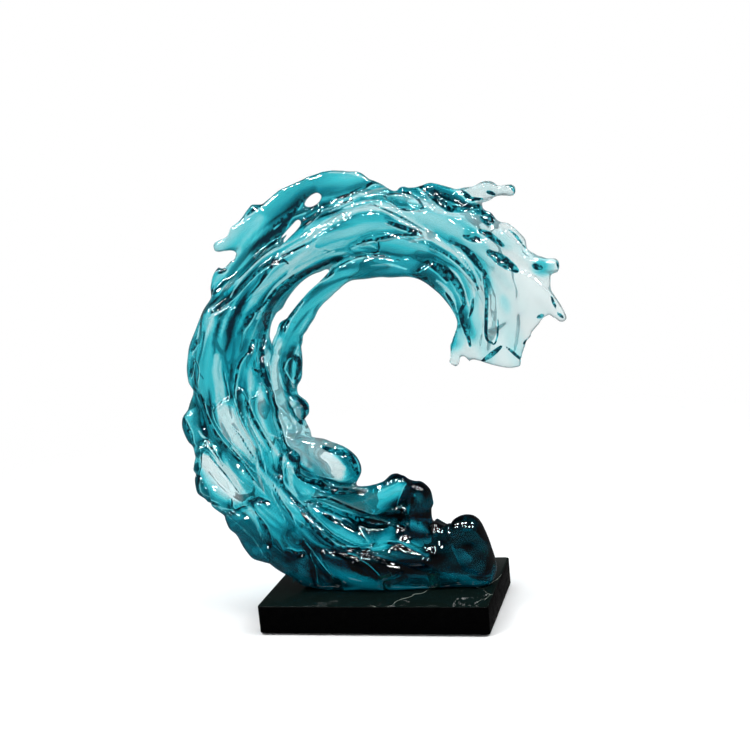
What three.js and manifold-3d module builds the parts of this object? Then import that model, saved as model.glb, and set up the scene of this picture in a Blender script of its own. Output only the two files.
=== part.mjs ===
// A curling wave cast in tinted clear resin, screwed from below to a black stone plinth on rubber feet.
// Millimetres, +Z up. The origin is on the table under the sculpture's middle. The crest breaks towards +X.
import * as THREE from 'three';
import { mergeVertices } from 'three/addons/utils/BufferGeometryUtils.js';
import Module from 'manifold-3d';

const wasm = await Module();
wasm.setup();

// Plinth
const PLINTH_LENGTH = 180;
const PLINTH_DEPTH = 110;
const PLINTH_HEIGHT = 22;
const PLINTH_CORNER_RADIUS = 3;
const PLINTH_EDGE_BEVEL = 0.8;
const PLINTH_SETBACK = 2;

// Rubber feet
const FOOT_RADIUS = 8;
const FOOT_HEIGHT = 1.5;
const FOOT_EDGE_ROUND = 0.5;
const FOOT_INSET = 6;

// Wave: a band of water that turns round the curl, between an inner and an outer radius
const CURL_INNER_RADIUS = 78;
const CURL_OUTER_RADIUS = 163;
const WAVE_HALF_DEPTH = 36;
const FOOT_FLAT = 5;
const FOOT_END_ANGLE = 300;

// Furrows between the swellings on the front of the wave's body, and the ridges that wind along the rest
const FURROW_DEPTH = 2;
const RIDGE_COUNT = 7;
const RIDGE_HEIGHT = 4.5;
const RIDGE_TWIST = 1.6;
const RIDGE_WANDER = 0.16;
const RIDGE_FULL_DEPTH = 20;

// Screws, washers and threaded inserts that hold the wave to the plinth
const SCREW_COUNT = 3;
const SCREW_SPACING = 38;
const SCREW_ROW_TURN = 34;
const SCREW_RADIUS = 3;
const SCREW_LENGTH = 26;
const SCREW_HEAD_OVERHANG = 2;
const SCREW_HEAD_HEIGHT = 6;
const SOCKET_ACROSS_FLATS = 5;
const SOCKET_DEPTH = 3;
const WASHER_WIDTH = 2.8;
const WASHER_THICKNESS = 1.6;
const INSERT_WALL = 1.4;
const INSERT_LENGTH = 10;
const INSERT_GROOVE_WIDTH = 2;
const INSERT_GROOVE_DEPTH = 0.6;
const THREAD_CLEARANCE = 0.2;
const POCKET_CLEARANCE = 0.2;
const SHANK_HOLE_CLEARANCE = 0.5;
const COUNTERBORE_CLEARANCE = 1;
const HEAD_RECESS = 1.4;
const POCKET_SPARE_DEPTH = 2;

// Levels and radii that follow from the sizes above
const PLINTH_TOP = FOOT_HEIGHT + PLINTH_HEIGHT;
const CURL_CENTRE_LEVEL = PLINTH_TOP + CURL_OUTER_RADIUS - FOOT_FLAT;
const BAND = CURL_OUTER_RADIUS - CURL_INNER_RADIUS;
const THREAD_BORE = SCREW_RADIUS + THREAD_CLEARANCE;
const SCREW_HEAD_RADIUS = SCREW_RADIUS + SCREW_HEAD_OVERHANG;
const WASHER_RADIUS = THREAD_BORE + WASHER_WIDTH;
const INSERT_RADIUS = THREAD_BORE + INSERT_WALL;
const COUNTERBORE_RADIUS = Math.max(WASHER_RADIUS, SCREW_HEAD_RADIUS) + COUNTERBORE_CLEARANCE;
const WASHER_LEVEL = FOOT_HEIGHT + HEAD_RECESS + SCREW_HEAD_HEIGHT;
const SEAT_LEVEL = WASHER_LEVEL + WASHER_THICKNESS;
const SCREW_TIP_LEVEL = WASHER_LEVEL + SCREW_LENGTH;
const INSERT_TOP = PLINTH_TOP + INSERT_LENGTH;
const POCKET_TOP = Math.max(SCREW_TIP_LEVEL, INSERT_TOP) + POCKET_SPARE_DEPTH;

// How finely curved skins are divided
const SIDES = { body: 40, tongue: 9, round: 20 };
const BODY_STEP = 7;
const TONGUE_STEP = 11;

const MATERIALS = {
  resin: new THREE.MeshStandardMaterial({
    color: 0x2fa9b8, roughness: 0.04, metalness: 0, transparent: true, opacity: 0.6,
  }),
  stone: new THREE.MeshStandardMaterial({ color: 0x0b0d0e, roughness: 0.12, metalness: 0 }),
  rubber: new THREE.MeshStandardMaterial({ color: 0x1a1a1a, roughness: 0.85, metalness: 0 }),
  steel: new THREE.MeshStandardMaterial({ color: 0xb9bcc0, roughness: 0.35, metalness: 1 }),
  brass: new THREE.MeshStandardMaterial({ color: 0xc9a24e, roughness: 0.35, metalness: 1 }),
};

// Closed three.js geometry to a solid that can be joined and cut, and back
function toSolid(geometry) {
  const bare = geometry.clone();
  for (const name of Object.keys(bare.attributes)) {
    if (name !== 'position') bare.deleteAttribute(name);
  }
  const merged = mergeVertices(bare, 1e-4);
  return new wasm.Manifold(new wasm.Mesh({
    numProp: 3,
    vertProperties: new Float32Array(merged.attributes.position.array),
    triVerts: new Uint32Array(merged.index.array),
  }));
}

function toGeometry(solid) {
  const mesh = solid.getMesh();
  const geometry = new THREE.BufferGeometry();
  geometry.setAttribute('position', new THREE.BufferAttribute(mesh.vertProperties, 3));
  geometry.setIndex(new THREE.BufferAttribute(mesh.triVerts, 1));
  geometry.computeVertexNormals();
  return geometry;
}

function joined(solids) {
  return solids.reduce((whole, solid) => whole.add(solid));
}

function cutAway(solid, geometries) {
  return geometries.map(toSolid).reduce((rest, cut) => rest.subtract(cut), solid);
}

function named(name, geometry, material) {
  const mesh = new THREE.Mesh(geometry, material);
  mesh.name = name;
  return mesh;
}

// A place in the wave: turn in degrees from the foot round to the crest, across the band from its inner
// edge at 0 to its outer edge at 1, and depth from the front at -1 to the back at 1.
function bandPoint(turn, across, depth) {
  const angle = THREE.MathUtils.degToRad(FOOT_END_ANGLE - turn);
  const radius = CURL_INNER_RADIUS + across * BAND;
  return new THREE.Vector3(
    radius * Math.cos(angle),
    depth * WAVE_HALF_DEPTH,
    CURL_CENTRE_LEVEL + radius * Math.sin(angle),
  );
}

// The body of the band: turn, the shares across at its inner and outer edges, and its half depth as a share
const BODY = [
  [9, 0.6, 1.19, 0.5], [20, 0.33, 1.24, 0.66], [36, 0.19, 1.26, 0.74], [55, 0.12, 1.14, 0.8],
  [72, 0.04, 1.04, 0.8], [90, -0.02, 0.94, 0.78], [112, -0.02, 0.9, 0.76], [130, 0.06, 0.96, 0.74],
  [147, 0.28, 0.87, 0.68], [165, 0.34, 0.72, 0.66], [180, 0.34, 0.7, 0.64], [195, 0.26, 0.76, 0.64],
  [210, 0.16, 0.82, 0.64], [225, 0.12, 0.8, 0.6], [240, 0.12, 0.79, 0.46], [252, 0.12, 0.76, 0.31],
  [264, 0.1, 0.7, 0.2], [274, 0.04, 0.6, 0.15],
];

// Swellings along the front of the body and hollows behind it: half the width and the height in millimetres,
// and places along the middle as turn and across
const FRONT_SWELLS = [
  { half: 16, height: 5, line: [[24, 0.76], [42, 0.74], [58, 0.73]] },
  { half: 9, height: 4, line: [[50, 1], [67, 0.78], [84, 0.6]] },
  { half: 7, height: 4, line: [[40, 0.62], [60, 0.5], [82, 0.36]] },
  { half: 8, height: 4.5, line: [[80, 0.33], [100, 0.29], [126, 0.35]] },
  { half: 8, height: 4, line: [[84, 0.24], [101, 0.14], [126, 0.15]] },
  { half: 9, height: 4.5, line: [[92, 0.38], [107, 0.46], [120, 0.56]] },
  { half: 12, height: 4.5, line: [[81, 0.77], [95, 0.85], [107, 0.9]] },
  { half: 10, height: 4.5, line: [[116, 0.61], [139, 0.63], [152, 0.76]] },
  { half: 7, height: 4, line: [[126, 0.38], [139, 0.37], [163, 0.46]] },
  { half: 7, height: 3.5, line: [[157, 0.5], [175, 0.5], [194, 0.46]] },
  { half: 9, height: 4.5, line: [[190, 0.47], [214, 0.6], [236, 0.54]] },
  { half: 8, height: 4, line: [[204, 0.36], [218, 0.41], [240, 0.42]] },
  { half: 9, height: 4.5, line: [[218, 0.67], [238, 0.7], [260, 0.62]] },
];
const REAR_HOLLOWS = [
  { half: 15, height: -9, line: [[90, 0.36], [107, 0.46], [122, 0.56]] },
  { half: 19, height: -9, line: [[80, 0.76], [95, 0.85], [109, 0.91]] },
];

// Every tongue of water is a swept form with round ends. Each of its points gives turn, across and depth,
// as above, and half its thickness as a share of the band; flat is its depth over that thickness.
const TONGUES = {
  // The thin ribbon along the inside of the curl
  inner_ribbon: {
    flat: 1.5,
    points: [
      [86, 0.04, -0.1, 0.11], [112, 0, -0.12, 0.11], [130, 0.01, -0.14, 0.12],
      [145, 0.04, -0.16, 0.11], [156, 0.075, -0.18, 0.1], [170, 0.09, -0.2, 0.09],
      [188, 0.14, -0.22, 0.09], [205, 0.2, -0.24, 0.12], [228, 0.22, -0.24, 0.11],
      [248, 0.14, -0.16, 0.08], [266, 0.02, -0.1, 0.055],
    ],
  },
  // The thin fin along the outer top edge, with its drips and fingers
  fin: {
    flat: 0.34,
    points: [
      [146, 0.74, 0, 0.12], [163, 0.78, 0, 0.11], [179, 0.87, 0, 0.2], [195, 0.92, 0, 0.17],
      [208, 0.9, 0, 0.12], [218, 0.81, 0, 0.07],
    ],
  },
  fin_finger: {
    flat: 0.9,
    points: [
      [178, 0.9, 0, 0.08], [171, 0.94, 0, 0.065], [166.5, 0.99, -0.02, 0.058],
      [163.8, 1.04, -0.05, 0.054],
    ],
  },
  fin_tooth: {
    flat: 0.8,
    points: [
      [150, 0.78, 0, 0.08], [155, 0.85, 0, 0.07], [158, 0.88, 0, 0.05],
    ],
  },
  rim_drip_1: {
    flat: 1.2,
    points: [
      [92, 0.74, -0.16, 0.13], [104, 0.84, -0.2, 0.15], [112, 0.92, -0.2, 0.12],
      [119, 0.85, -0.16, 0.08],
    ],
  },
  rim_drip_2: {
    flat: 1.2,
    points: [
      [68, 0.82, -0.2, 0.15], [84, 0.92, -0.24, 0.17], [93, 0.99, -0.22, 0.15],
      [101, 0.91, -0.18, 0.1],
    ],
  },
  rim_drip_3: {
    flat: 1.2,
    points: [
      [44, 0.88, -0.2, 0.19], [58, 0.96, -0.24, 0.19], [70, 1, -0.22, 0.15],
      [79, 0.94, -0.18, 0.11],
    ],
  },
  // The crest: strands that fall from the top of the curl, and the clear sheet between them
  crest_sheet: {
    flat: 0.14,
    points: [
      [226, 0.5, -0.02, 0.3], [238.5, 0.55, -0.04, 0.35], [247.5, 0.53, -0.05, 0.41],
      [257, 0.5, -0.06, 0.45], [265.2, 0.44, -0.08, 0.49], [270.7, 0.32, -0.1, 0.42],
      [276.4, 0.21, -0.1, 0.34], [282.3, 0.105, -0.1, 0.34], [287, 0.055, -0.1, 0.345],
    ],
  },
  crest_fall_1: {
    flat: 0.9,
    points: [
      [232, 0.22, -0.3, 0.09], [250, 0.14, -0.24, 0.075], [266, 0.02, -0.16, 0.06],
      [278, -0.16, -0.1, 0.05], [284, -0.21, -0.1, 0.048],
    ],
  },
  crest_fall_2: {
    flat: 0.9,
    points: [
      [232, 0.36, -0.4, 0.09], [250, 0.28, -0.33, 0.07], [266, 0.15, -0.22, 0.055],
      [278, 0.01, -0.15, 0.045], [285, -0.07, -0.11, 0.03],
    ],
  },
  crest_fall_3: {
    flat: 0.9,
    points: [
      [230, 0.5, -0.42, 0.09], [248, 0.46, -0.35, 0.07], [264, 0.36, -0.24, 0.055],
      [278, 0.2, -0.16, 0.045], [287, 0.1, -0.12, 0.03],
    ],
  },
  crest_fall_4: {
    flat: 0.9,
    points: [
      [228, 0.66, -0.32, 0.09], [246, 0.66, -0.28, 0.075], [260, 0.6, -0.19, 0.06],
      [270, 0.54, -0.15, 0.045], [277, 0.5, -0.12, 0.03],
    ],
  },
  crest_fall_5: {
    flat: 0.9,
    points: [
      [232, 0.74, -0.1, 0.1], [248, 0.77, -0.08, 0.08], [260, 0.8, -0.08, 0.065],
      [266, 0.86, -0.08, 0.065], [268.4, 0.94, -0.08, 0.068],
    ],
  },
  crest_fall_6: {
    flat: 0.9,
    points: [
      [232, 0.4, 0.36, 0.09], [250, 0.36, 0.27, 0.07], [266, 0.26, 0.16, 0.055],
      [280, 0.1, 0.04, 0.045], [287, 0.04, -0.04, 0.03],
    ],
  },
  crest_fall_7: {
    flat: 0.9,
    points: [
      [232, 0.66, 0.28, 0.09], [250, 0.64, 0.2, 0.07], [266, 0.54, 0.1, 0.055],
      [278, 0.4, 0.02, 0.045], [288, 0.28, -0.04, 0.035],
    ],
  },
  spray_finger: {
    flat: 0.9,
    points: [
      [204, 0.7, 0.05, 0.11], [218, 0.77, 0.08, 0.11], [230, 0.82, 0.1, 0.1],
      [238, 0.85, 0.1, 0.09], [242, 0.97, 0.1, 0.08], [244.3, 1.06, 0.1, 0.055],
      [246.2, 1.12, 0.1, 0.058], [247.6, 1.165, 0.1, 0.056],
    ],
  },
  spray_knob: {
    flat: 0.9,
    points: [
      [236, 0.68, 0.05, 0.1], [244, 0.76, 0.06, 0.09], [248, 0.82, 0.06, 0.075],
    ],
  },
  lip_drip: {
    flat: 0.6,
    points: [
      [266, 0.68, -0.1, 0.12], [273, 0.74, -0.1, 0.1], [279, 0.79, -0.1, 0.07],
      [282.5, 0.82, -0.1, 0.04],
    ],
  },
  // Swells on the crown of the curl
  crown_leaf: {
    flat: 0.45,
    points: [
      [190, 0.52, -0.5, 0.08], [206, 0.58, -0.56, 0.14], [222, 0.66, -0.48, 0.08],
    ],
  },
  crown_eye: {
    flat: 0.6,
    points: [
      [209, 0.78, -0.3, 0.059], [216, 0.8, -0.36, 0.09], [223, 0.78, -0.32, 0.059],
    ],
  },
  // Splashes along the inside of the curl and round the foot
  inner_knob_1: {
    flat: 1,
    points: [
      [118, 0.06, -0.2, 0.12], [112, -0.05, -0.26, 0.12], [109, -0.115, -0.24, 0.105],
    ],
  },
  inner_knob_2: {
    flat: 1,
    points: [
      [145, 0.04, -0.06, 0.11], [138, -0.03, -0.08, 0.115], [130, -0.065, -0.08, 0.105],
    ],
  },
  splash_tongue: {
    flat: 0.8,
    points: [
      [102, 0.2, -0.3, 0.15], [84, 0.05, -0.38, 0.18], [71, -0.06, -0.36, 0.17],
      [61, -0.09, -0.32, 0.15], [55, -0.06, -0.3, 0.13],
    ],
  },
  splash_tip: {
    flat: 0.8,
    points: [
      [60, 0.2, -0.42, 0.15], [45, 0.14, -0.46, 0.14], [33, 0.07, -0.42, 0.13],
      [24, 0.015, -0.38, 0.135],
    ],
  },
  splash_leaf: {
    flat: 0.5,
    points: [
      [68, 0.42, -0.6, 0.09], [53, 0.46, -0.64, 0.15], [38, 0.54, -0.54, 0.08],
    ],
  },
  foot_leaf: {
    flat: 0.5,
    points: [
      [36, 0.5, -0.48, 0.07], [24, 0.64, -0.52, 0.14], [12, 0.8, -0.42, 0.08],
    ],
  },
  foot_knob_1: {
    flat: 0.9,
    points: [
      [20, 0.5, -0.25, 0.14], [17.3, 0.28, -0.25, 0.13], [15.1, 0.12, -0.25, 0.125],
    ],
  },
  foot_knob_2: {
    flat: 1,
    points: [
      [7.5, 0.95, -0.1, 0.2], [5.5, 0.75, -0.1, 0.19], [4, 0.61, -0.1, 0.165],
    ],
  },
  foot_knob_3: {
    flat: 1,
    points: [
      [26, 0.6, 0.3, 0.14], [24, 0.36, 0.32, 0.13], [23, 0.24, 0.32, 0.12],
    ],
  },
};

// Openings that pass right through the wave: turn, across and half the width as a share of the band
const CUTS = {
  ribbon_slot: {
    points: [
      [146, 0.19, 0.035], [154, 0.225, 0.059], [164, 0.245, 0.07], [174, 0.265, 0.07],
      [182, 0.275, 0.053], [188, 0.26, 0.029],
    ],
  },
  fin_hole_1: {
    points: [
      [192.4, 0.855, 0.05], [195.6, 0.875, 0.05],
    ],
  },
  fin_hole_2: {
    points: [
      [179, 0.65, 0.034], [187, 0.72, 0.034],
    ],
  },
};

// A closed skin over rings of points, all with as many points, ending in a point at either end
function closedSkin(start, rings, end) {
  const sides = rings[0].length;
  const points = [start, ...rings.flat(), end];
  const last = points.length - 1;
  const indices = [];
  for (let side = 0; side < sides; side += 1) {
    const next = (side + 1) % sides;
    indices.push(0, 1 + next, 1 + side);
    for (let ring = 0; ring < rings.length - 1; ring += 1) {
      const low = 1 + ring * sides;
      const high = low + sides;
      indices.push(low + side, low + next, high + side, low + next, high + next, high + side);
    }
    indices.push(last, last - sides + side, last - sides + next);
  }
  const geometry = new THREE.BufferGeometry().setFromPoints(points);
  geometry.setIndex(indices);
  return geometry;
}

function ringOf(sides, pointAt) {
  return Array.from({ length: sides }, (_, side) => pointAt((2 * Math.PI * side) / sides));
}

// The shares of a section's size and of its reach ahead that round off an end
const ROUNDED_END = [Math.PI / 3, Math.PI / 6].map((angle) => [Math.cos(angle), Math.sin(angle)]);

// The body's inner edge, outer edge and half depth at a turn
function bodyAt(turn) {
  const next = BODY.findIndex((row) => row[0] >= turn);
  const high = BODY[Math.max(next, 1)];
  const low = BODY[Math.max(next, 1) - 1];
  const share = THREE.MathUtils.smoothstep(turn, low[0], high[0]);
  return [1, 2, 3].map((column) => THREE.MathUtils.lerp(low[column], high[column], share));
}

// How far the ridges lift the body's skin where it faces an angle: 0 out, a quarter turn to the front
function ridgeLift(turn, facing) {
  const along = THREE.MathUtils.degToRad(turn);
  const drift = Math.sin(2 * facing + 1.7 * along) + Math.sin(3 * facing - 2.3 * along + 2);
  const wander = RIDGE_WANDER * drift;
  const broad = Math.cos(RIDGE_COUNT * (facing + wander) + RIDGE_TWIST * along);
  const narrow = Math.cos((RIDGE_COUNT + 3) * (facing - wander) - RIDGE_TWIST * along);
  const swell = 0.7 + 0.3 * Math.sin(2 * facing + 3 * along);
  return RIDGE_HEIGHT * swell * (0.7 * broad + 0.3 * narrow);
}

// How far a swelling lifts a place: it is round across its middle line and tapers to its ends
function swellLift({ half, height, line }, turn, across) {
  const next = line.findIndex(([place]) => place >= turn);
  if (next < 1) return 0;
  const [[lowTurn, lowAcross], [highTurn, highAcross]] = [line[next - 1], line[next]];
  const middle = THREE.MathUtils.mapLinear(turn, lowTurn, highTurn, lowAcross, highAcross);
  const along = (turn - line[0][0]) / (line.at(-1)[0] - line[0][0]);
  const off = ((across - middle) * BAND) / half;
  return height * Math.max(0, 1 - off * off) * Math.sqrt(Math.sin(Math.PI * along));
}

// How far the body's skin is lifted: by swellings on its front, and by ridges and hollows behind it
function bodyLift(turn, across, facing) {
  const front = THREE.MathUtils.smoothstep(Math.sin(facing), 0.1, 0.5);
  const swells = FRONT_SWELLS.map((swell) => swellLift(swell, turn, across));
  const hollows = REAR_HOLLOWS.map((hollow) => swellLift(hollow, turn, across));
  const behind = THREE.MathUtils.smoothstep(-Math.sin(facing), 0.1, 0.5) * Math.min(...hollows);
  const ahead = Math.max(...swells) - FURROW_DEPTH;
  return THREE.MathUtils.lerp(ridgeLift(turn, facing), ahead, front) + behind;
}

// The body: oval sections across the band, lifted less where it is shallow
function bodySkin() {
  const first = BODY[0][0];
  const last = BODY.at(-1)[0];
  const steps = Math.round((last - first) / BODY_STEP);

  function section(turn, [size, reach]) {
    const [inner, outer, depth] = bodyAt(turn);
    const out = bandPoint(turn, 1, 0).sub(bandPoint(turn, 0, 0)).normalize();
    const ahead = new THREE.Vector3(0, 1, 0).cross(out);
    const halfDepth = depth * WAVE_HALF_DEPTH;
    const shallow = Math.min(1, halfDepth / RIDGE_FULL_DEPTH);
    const halfWidth = ((outer - inner) / 2) * BAND;
    const centre = bandPoint(turn, (inner + outer) / 2, 0).addScaledVector(ahead, reach * halfDepth);
    return ringOf(SIDES.body, (facing) => {
      const across = (inner + outer) / 2 + ((outer - inner) / 2) * Math.cos(facing);
      const lift = shallow * bodyLift(turn, across, facing);
      return centre.clone()
        .addScaledVector(out, size * (halfWidth + lift) * Math.cos(facing))
        .add(new THREE.Vector3(0, -size * (halfDepth + lift) * Math.sin(facing), 0));
    });
  }

  const rings = [
    ...ROUNDED_END.map(([size, reach]) => section(first, [size, -reach])),
    ...Array.from({ length: steps + 1 }, (_, i) => section(first + ((last - first) * i) / steps, [1, 0])),
    ...ROUNDED_END.toReversed().map((end) => section(last, end)),
  ];
  return closedSkin(section(first, [0, -1])[0], rings, section(last, [0, 1])[0]);
}

// One tongue of water: its oval section follows its route
function tongue({ points, flat }) {
  const through = (values) => new THREE.CatmullRomCurve3(values, false, 'catmullrom');
  const route = through(points.map((point) => new THREE.Vector3(...point.slice(0, 3))));
  const swell = through(points.map((point) => new THREE.Vector3(point[3], 0, 0)));
  const place = (share) => bandPoint(...route.getPoint(THREE.MathUtils.clamp(share, 0, 1)).toArray());
  const turned = Math.abs(points.at(-1)[0] - points[0][0]);
  const steps = Math.max(2 * (points.length - 1), Math.round(turned / TONGUE_STEP));

  function section(share, [size, reach]) {
    const ahead = place(share + 0.01).sub(place(share - 0.01)).normalize();
    const deep = new THREE.Vector3(0, 1, 0).projectOnPlane(ahead).normalize();
    const across = deep.clone().cross(ahead);
    const half = BAND * swell.getPoint(share).x;
    const centre = place(share).addScaledVector(ahead, reach * half * Math.min(1, flat));
    return ringOf(SIDES.tongue, (angle) => centre.clone()
      .addScaledVector(across, size * half * Math.cos(angle))
      .addScaledVector(deep, size * half * flat * Math.sin(angle)));
  }

  const rings = [
    ...ROUNDED_END.map(([size, reach]) => section(0, [size, -reach])),
    ...Array.from({ length: steps + 1 }, (_, i) => section(i / steps, [1, 0])),
    ...ROUNDED_END.toReversed().map((end) => section(1, end)),
  ];
  return closedSkin(section(0, [0, -1])[0], rings, section(1, [0, 1])[0]);
}

// A through opening: its outline lies round a route in the wave's plane, and it is as deep as the wave
function throughCut({ points }) {
  const route = points.map(([turn, across]) => bandPoint(turn, across, 0));
  const last = route.length - 1;
  const side = (sign) => route.map((point, i) => {
    const ahead = route[Math.min(i + 1, last)].clone().sub(route[Math.max(i - 1, 0)]).normalize();
    const outward = new THREE.Vector3(-ahead.z, 0, ahead.x).multiplyScalar(sign * BAND * points[i][2]);
    return new THREE.Vector2(point.x + outward.x, point.z + outward.z);
  });
  const tip = (i, j) => {
    const ahead = route[i].clone().sub(route[j]).normalize().multiplyScalar(BAND * points[i][2]);
    return new THREE.Vector2(route[i].x + ahead.x, route[i].z + ahead.z);
  };
  const outline = [tip(0, 1), ...side(1), tip(last, last - 1), ...side(-1).toReversed()];
  const smooth = new THREE.SplineCurve([...outline, outline[0]]).getPoints(3 * outline.length);
  const reach = 2 * WAVE_HALF_DEPTH;
  return new THREE.ExtrudeGeometry(new THREE.Shape(smooth), { depth: 2 * reach, bevelEnabled: false })
    .rotateX(Math.PI / 2)
    .translate(0, reach, 0);
}

function box(low, high) {
  const size = new THREE.Vector3().subVectors(high, low);
  const middle = new THREE.Vector3().addVectors(low, high).multiplyScalar(0.5);
  return new THREE.BoxGeometry(...size.toArray()).translate(...middle.toArray());
}

function upright(radius, low, high, sides = SIDES.round) {
  return new THREE.CylinderGeometry(radius, radius, high - low, sides)
    .rotateX(Math.PI / 2)
    .translate(0, 0, (low + high) / 2);
}

function at(geometry, [x, y]) {
  return geometry.clone().translate(x, y, 0);
}

function revolved(profile) {
  const points = profile.map(([radius, level]) => new THREE.Vector2(radius, level));
  return new THREE.LatheGeometry(points, SIDES.round).rotateX(Math.PI / 2);
}

// All tongues joined to the body and the openings cut, centred over the plinth
const flow = joined([bodySkin(), ...Object.values(TONGUES).map(tongue)].map(toSolid));
const water = cutAway(flow, Object.values(CUTS).map(throughCut));
const { min, max } = water.boundingBox();
const centring = [0, 1].map((axis) => -(min[axis] + max[axis]) / 2);

const screwRow = bandPoint(SCREW_ROW_TURN, 1, 0).x + centring[0];
const screwPlaces = Array.from({ length: SCREW_COUNT }, (_, i) => [
  screwRow + (i - (SCREW_COUNT - 1) / 2) * SCREW_SPACING,
  0,
]);

// The casting: the water above the plinth, with a pocket in its flat foot for each insert
function waveCasting() {
  const wide = 2 * (max[0] - min[0]);
  const ground = box(new THREE.Vector3(-wide, -wide, -wide), new THREE.Vector3(wide, wide, PLINTH_TOP));
  const pocket = upright(INSERT_RADIUS + POCKET_CLEARANCE, FOOT_HEIGHT, POCKET_TOP);
  const pockets = screwPlaces.map((place) => at(pocket, place));
  const casting = cutAway(water.translate([...centring, 0]), [ground, ...pockets]);
  const [largest] = casting.decompose().sort((a, b) => b.volume() - a.volume());
  return toGeometry(largest);
}

function roundedRectangle(length, depth, radius) {
  const x = length / 2;
  const y = depth / 2;
  const shape = new THREE.Shape();
  shape.moveTo(-x + radius, -y);
  shape.lineTo(x - radius, -y).absarc(x - radius, -y + radius, radius, -Math.PI / 2, 0);
  shape.lineTo(x, y - radius).absarc(x - radius, y - radius, radius, 0, Math.PI / 2);
  shape.lineTo(-x + radius, y).absarc(-x + radius, y - radius, radius, Math.PI / 2, Math.PI);
  shape.lineTo(-x, -y + radius).absarc(-x + radius, -y + radius, radius, Math.PI, 1.5 * Math.PI);
  return shape;
}

function plinth() {
  const bevel = PLINTH_EDGE_BEVEL;
  const outline = roundedRectangle(
    PLINTH_LENGTH - 2 * bevel, PLINTH_DEPTH - 2 * bevel, PLINTH_CORNER_RADIUS - bevel,
  );
  const slab = new THREE.ExtrudeGeometry(outline, {
    depth: PLINTH_HEIGHT - 2 * bevel,
    bevelThickness: bevel,
    bevelSize: bevel,
    bevelSegments: 2,
    curveSegments: 6,
  }).translate(0, 0, FOOT_HEIGHT + bevel);
  const shankHole = upright(SCREW_RADIUS + SHANK_HOLE_CLEARANCE, 0, PLINTH_TOP + FOOT_HEIGHT);
  const counterbore = upright(COUNTERBORE_RADIUS, 0, SEAT_LEVEL);
  const bored = screwPlaces.map(([x, y]) => [x + PLINTH_SETBACK, y]);
  const holes = bored.flatMap((place) => [at(shankHole, place), at(counterbore, place)]);
  return toGeometry(cutAway(toSolid(slab), holes));
}

function foot() {
  const round = FOOT_EDGE_ROUND;
  return revolved([
    [0, 0], [FOOT_RADIUS - round, 0], [FOOT_RADIUS, round], [FOOT_RADIUS, FOOT_HEIGHT], [0, FOOT_HEIGHT],
  ]);
}

function screw() {
  const headEnd = WASHER_LEVEL - SCREW_HEAD_HEIGHT;
  const chamfer = SCREW_RADIUS / 4;
  const turned = revolved([
    [0, headEnd], [SCREW_HEAD_RADIUS - chamfer, headEnd],
    [SCREW_HEAD_RADIUS, headEnd + chamfer], [SCREW_HEAD_RADIUS, WASHER_LEVEL],
    [SCREW_RADIUS, WASHER_LEVEL], [SCREW_RADIUS, SCREW_TIP_LEVEL - chamfer],
    [SCREW_RADIUS - chamfer, SCREW_TIP_LEVEL], [0, SCREW_TIP_LEVEL],
  ]);
  const socket = upright(SOCKET_ACROSS_FLATS / Math.sqrt(3), 0, headEnd + SOCKET_DEPTH, 6);
  return toGeometry(cutAway(toSolid(turned), [socket]));
}

function ring(bore, low, high, rim) {
  return revolved([[bore, low], ...rim, [bore, high], [bore, low]]);
}

function washer() {
  const rim = [[WASHER_RADIUS, WASHER_LEVEL], [WASHER_RADIUS, SEAT_LEVEL]];
  return ring(THREAD_BORE, WASHER_LEVEL, SEAT_LEVEL, rim);
}

// A brass insert with a groove round its middle that keys it into the resin
function insert() {
  const middle = PLINTH_TOP + INSERT_LENGTH / 2;
  const waist = INSERT_RADIUS - INSERT_GROOVE_DEPTH;
  const grooveLow = middle - INSERT_GROOVE_WIDTH / 2;
  const grooveHigh = middle + INSERT_GROOVE_WIDTH / 2;
  return ring(THREAD_BORE, PLINTH_TOP, INSERT_TOP, [
    [INSERT_RADIUS, PLINTH_TOP], [INSERT_RADIUS, grooveLow], [waist, grooveLow],
    [waist, grooveHigh], [INSERT_RADIUS, grooveHigh], [INSERT_RADIUS, INSERT_TOP],
  ]);
}

const sculpture = new THREE.Group();
sculpture.add(named('wave_casting', waveCasting(), MATERIALS.resin));

screwPlaces.forEach(([x, y], i) => {
  const fixing = new THREE.Group();
  fixing.position.set(x, y, 0);
  fixing.add(named(`fixing_screw_${i + 1}`, screw(), MATERIALS.steel));
  fixing.add(named(`screw_washer_${i + 1}`, washer(), MATERIALS.steel));
  fixing.add(named(`threaded_insert_${i + 1}`, insert(), MATERIALS.brass));
  sculpture.add(fixing);
});

// The plinth stands a little back from the crest, so the curl hangs further over its end
const stand = new THREE.Group();
stand.position.x = -PLINTH_SETBACK;
stand.add(named('plinth', plinth(), MATERIALS.stone));
const footX = PLINTH_LENGTH / 2 - FOOT_INSET - FOOT_RADIUS;
const footY = PLINTH_DEPTH / 2 - FOOT_INSET - FOOT_RADIUS;
const corners = { front_left: [-1, -1], front_right: [1, -1], rear_left: [-1, 1], rear_right: [1, 1] };
for (const [corner, [sideX, sideY]] of Object.entries(corners)) {
  const pad = named(`foot_${corner}`, foot(), MATERIALS.rubber);
  pad.position.set(sideX * footX, sideY * footY, 0);
  stand.add(pad);
}
sculpture.add(stand);

export default sculpture;
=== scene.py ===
"""Dresses the wave sculpture: a clear teal resin casting on a polished black plinth."""

import logging
import math
from collections.abc import Mapping
from dataclasses import dataclass, field
from enum import Enum
from typing import ClassVar

import bpy
import numpy as np
from mathutils import Matrix, Vector, noise
from mathutils.bvhtree import BVHTree

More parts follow.
